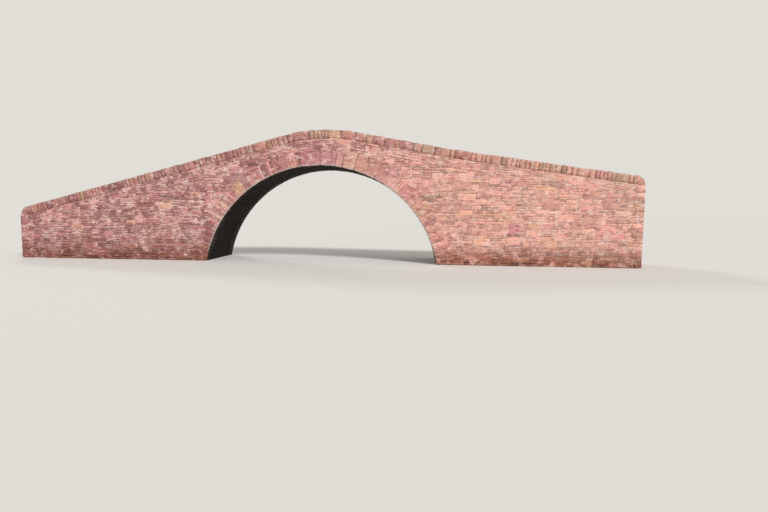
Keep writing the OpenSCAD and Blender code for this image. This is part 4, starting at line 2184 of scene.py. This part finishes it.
@dataclass
class Studio:
    """A plain pale floor, soft light, and a camera a little above the foot of the arch."""

    floor_reach: float = 300.0
    floor_colour: str = "#dedbd5"
    background: str = "#e1ded7"
    world_light: float = 0.42
    key_light: float = 2.4
    key_place: tuple[float, float, float] = (12.0, -15.0, 16.0)
    fill_light: float = 0.6
    fill_place: tuple[float, float, float] = (-14.0, 20.0, 16.0)
    softness: float = math.radians(12)
    camera_place: tuple[float, float, float] = (3.874, -21.813, 2.187)
    camera_lens: float = 24.0
    camera_yaw: float = -0.06323
    camera_pitch: float = 0.09139
    camera_roll: float = 0.01139

    def build(self) -> None:
        """Builds the floor, the light and the camera."""
        self._floor()
        self._world()
        for name, strength, place in (
            ("key", self.key_light, self.key_place), ("fill", self.fill_light, self.fill_place)
        ):
            light = bpy.data.lights.new(name, "SUN")
            light.energy = strength
            light.angle = self.softness
            lamp = add_object(name, light)
            lamp.matrix_world = Vector(place).to_track_quat("Z", "Y").to_matrix().to_4x4()
        self._camera()
        bpy.context.scene.view_settings.view_transform = "Standard"

    def _floor(self) -> None:
        """Lays the floor at the base."""
        reach = self.floor_reach
        corners = [(-reach, -reach, 0), (reach, -reach, 0), (reach, reach, 0), (-reach, reach, 0)]
        mesh = bpy.data.meshes.new("floor")
        mesh.from_pydata(corners, [], [(0, 1, 2, 3)])
        material = bpy.data.materials.new("pale_floor")
        material.use_nodes = True
        tree = material.node_tree
        tree.nodes.clear()
        shader = add_node(
            tree, "ShaderNodeBsdfPrincipled",
            {"Base Color": linear(self.floor_colour), "Roughness": 0.9, "Specular IOR Level": 0.1},
        )
        add_node(tree, "ShaderNodeOutputMaterial", {"Surface": shader.outputs[0]})
        mesh.materials.append(material)
        floor = add_object("floor", mesh)
        floor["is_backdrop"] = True

    def _world(self) -> None:
        """Lights the scene evenly, and shows the camera a pale background."""
        world = bpy.data.worlds.new("studio")
        world.use_nodes = True
        tree = world.node_tree
        tree.nodes.clear()
        rays = add_node(tree, "ShaderNodeLightPath").outputs
        seen = rays["Is Camera Ray"]
        for other in ("Is Glossy Ray", "Is Transmission Ray"):
            seen = add_node(
                tree, "ShaderNodeMath", {0: seen, 1: rays[other]}, operation="MAXIMUM"
            ).outputs[0]
        light = add_node(
            tree, "ShaderNodeBackground", {"Color": (1.0, 1.0, 1.0, 1.0), "Strength": self.world_light}
        )
        pale = add_node(tree, "ShaderNodeBackground", {"Color": linear(self.background), "Strength": 1.0})
        mixed = add_node(tree, "ShaderNodeMixShader", {0: seen, 1: light.outputs[0], 2: pale.outputs[0]})
        add_node(tree, "ShaderNodeOutputWorld", {"Surface": mixed.outputs[0]})
        bpy.context.scene.world = world

    def _camera(self) -> None:
        """Places the camera by its turn to the right, its pitch down and its roll."""
        yaw, pitch, roll = self.camera_yaw, self.camera_pitch, self.camera_roll
        level = math.cos(pitch)
        ahead = Vector((math.sin(yaw) * level, math.cos(yaw) * level, -math.sin(pitch)))
        right = Vector((math.cos(yaw), -math.sin(yaw), 0.0))
        up = right.cross(ahead)
        rolled_right = right * math.cos(roll) + up * math.sin(roll)
        rolled_up = up * math.cos(roll) - right * math.sin(roll)
        turn = Matrix((rolled_right, rolled_up, -ahead)).transposed().to_4x4()
        lens = bpy.data.cameras.new("camera")
        lens.lens = self.camera_lens
        lens.clip_end = 2 * self.floor_reach
        camera = add_object("camera", lens)
        camera.matrix_world = Matrix.Translation(self.camera_place) @ turn
        bpy.context.scene.camera = camera


def main() -> None:
    """Builds the looks of the bridge around its frame."""
    logging.basicConfig(level=logging.INFO, format="%(name)s: %(message)s")
    size = BridgeSize.from_frame()
    finishes = {finish: finish.value.build(size) for finish in Finish}
    setting = SettingOut(size)
    Studio().build()
    Bedding(finishes).dress()
    laid, blocks = ((size, finishes, tree) for tree in (LaidStones(), SetStones()))
    pieces: list[Piece] = []
    for i, side in enumerate(Side):
        ring = ArchRing(*laid, seed=41 + i, side=side)
        pieces += ring.build()
        pieces += SideFace(*laid, seed=21 + i, setting=setting, ring=ring, side=side).build()
        pieces += Parapet(*laid, seed=31 + i, setting=setting, side=side).build()
        pieces += Coping(*blocks, seed=51 + i, side=side).build()
    for i, hand in enumerate(Hand):
        pieces += EndFace(*laid, seed=61 + i, setting=setting, hand=hand).build()
        pieces += Quoins(*blocks, seed=71 + i, setting=setting, hand=hand).build()
    pieces += Vault(*laid, seed=81).build()
    pieces += Path(*blocks, seed=91).build()
    total = 0
    for piece in pieces:
        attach(piece.thing, BODY)
        if piece.stands_for:
            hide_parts(*piece.stands_for)
        triangles = sum(len(face.vertices) - 2 for face in piece.thing.data.polygons)
        total += triangles
        LOG.info("%s has %d triangles", piece.thing.name, triangles)
    LOG.info("%d pieces have %d triangles", len(pieces), total)
    bpy.context.view_layer.update()


if __name__ == "__main__":
    main()
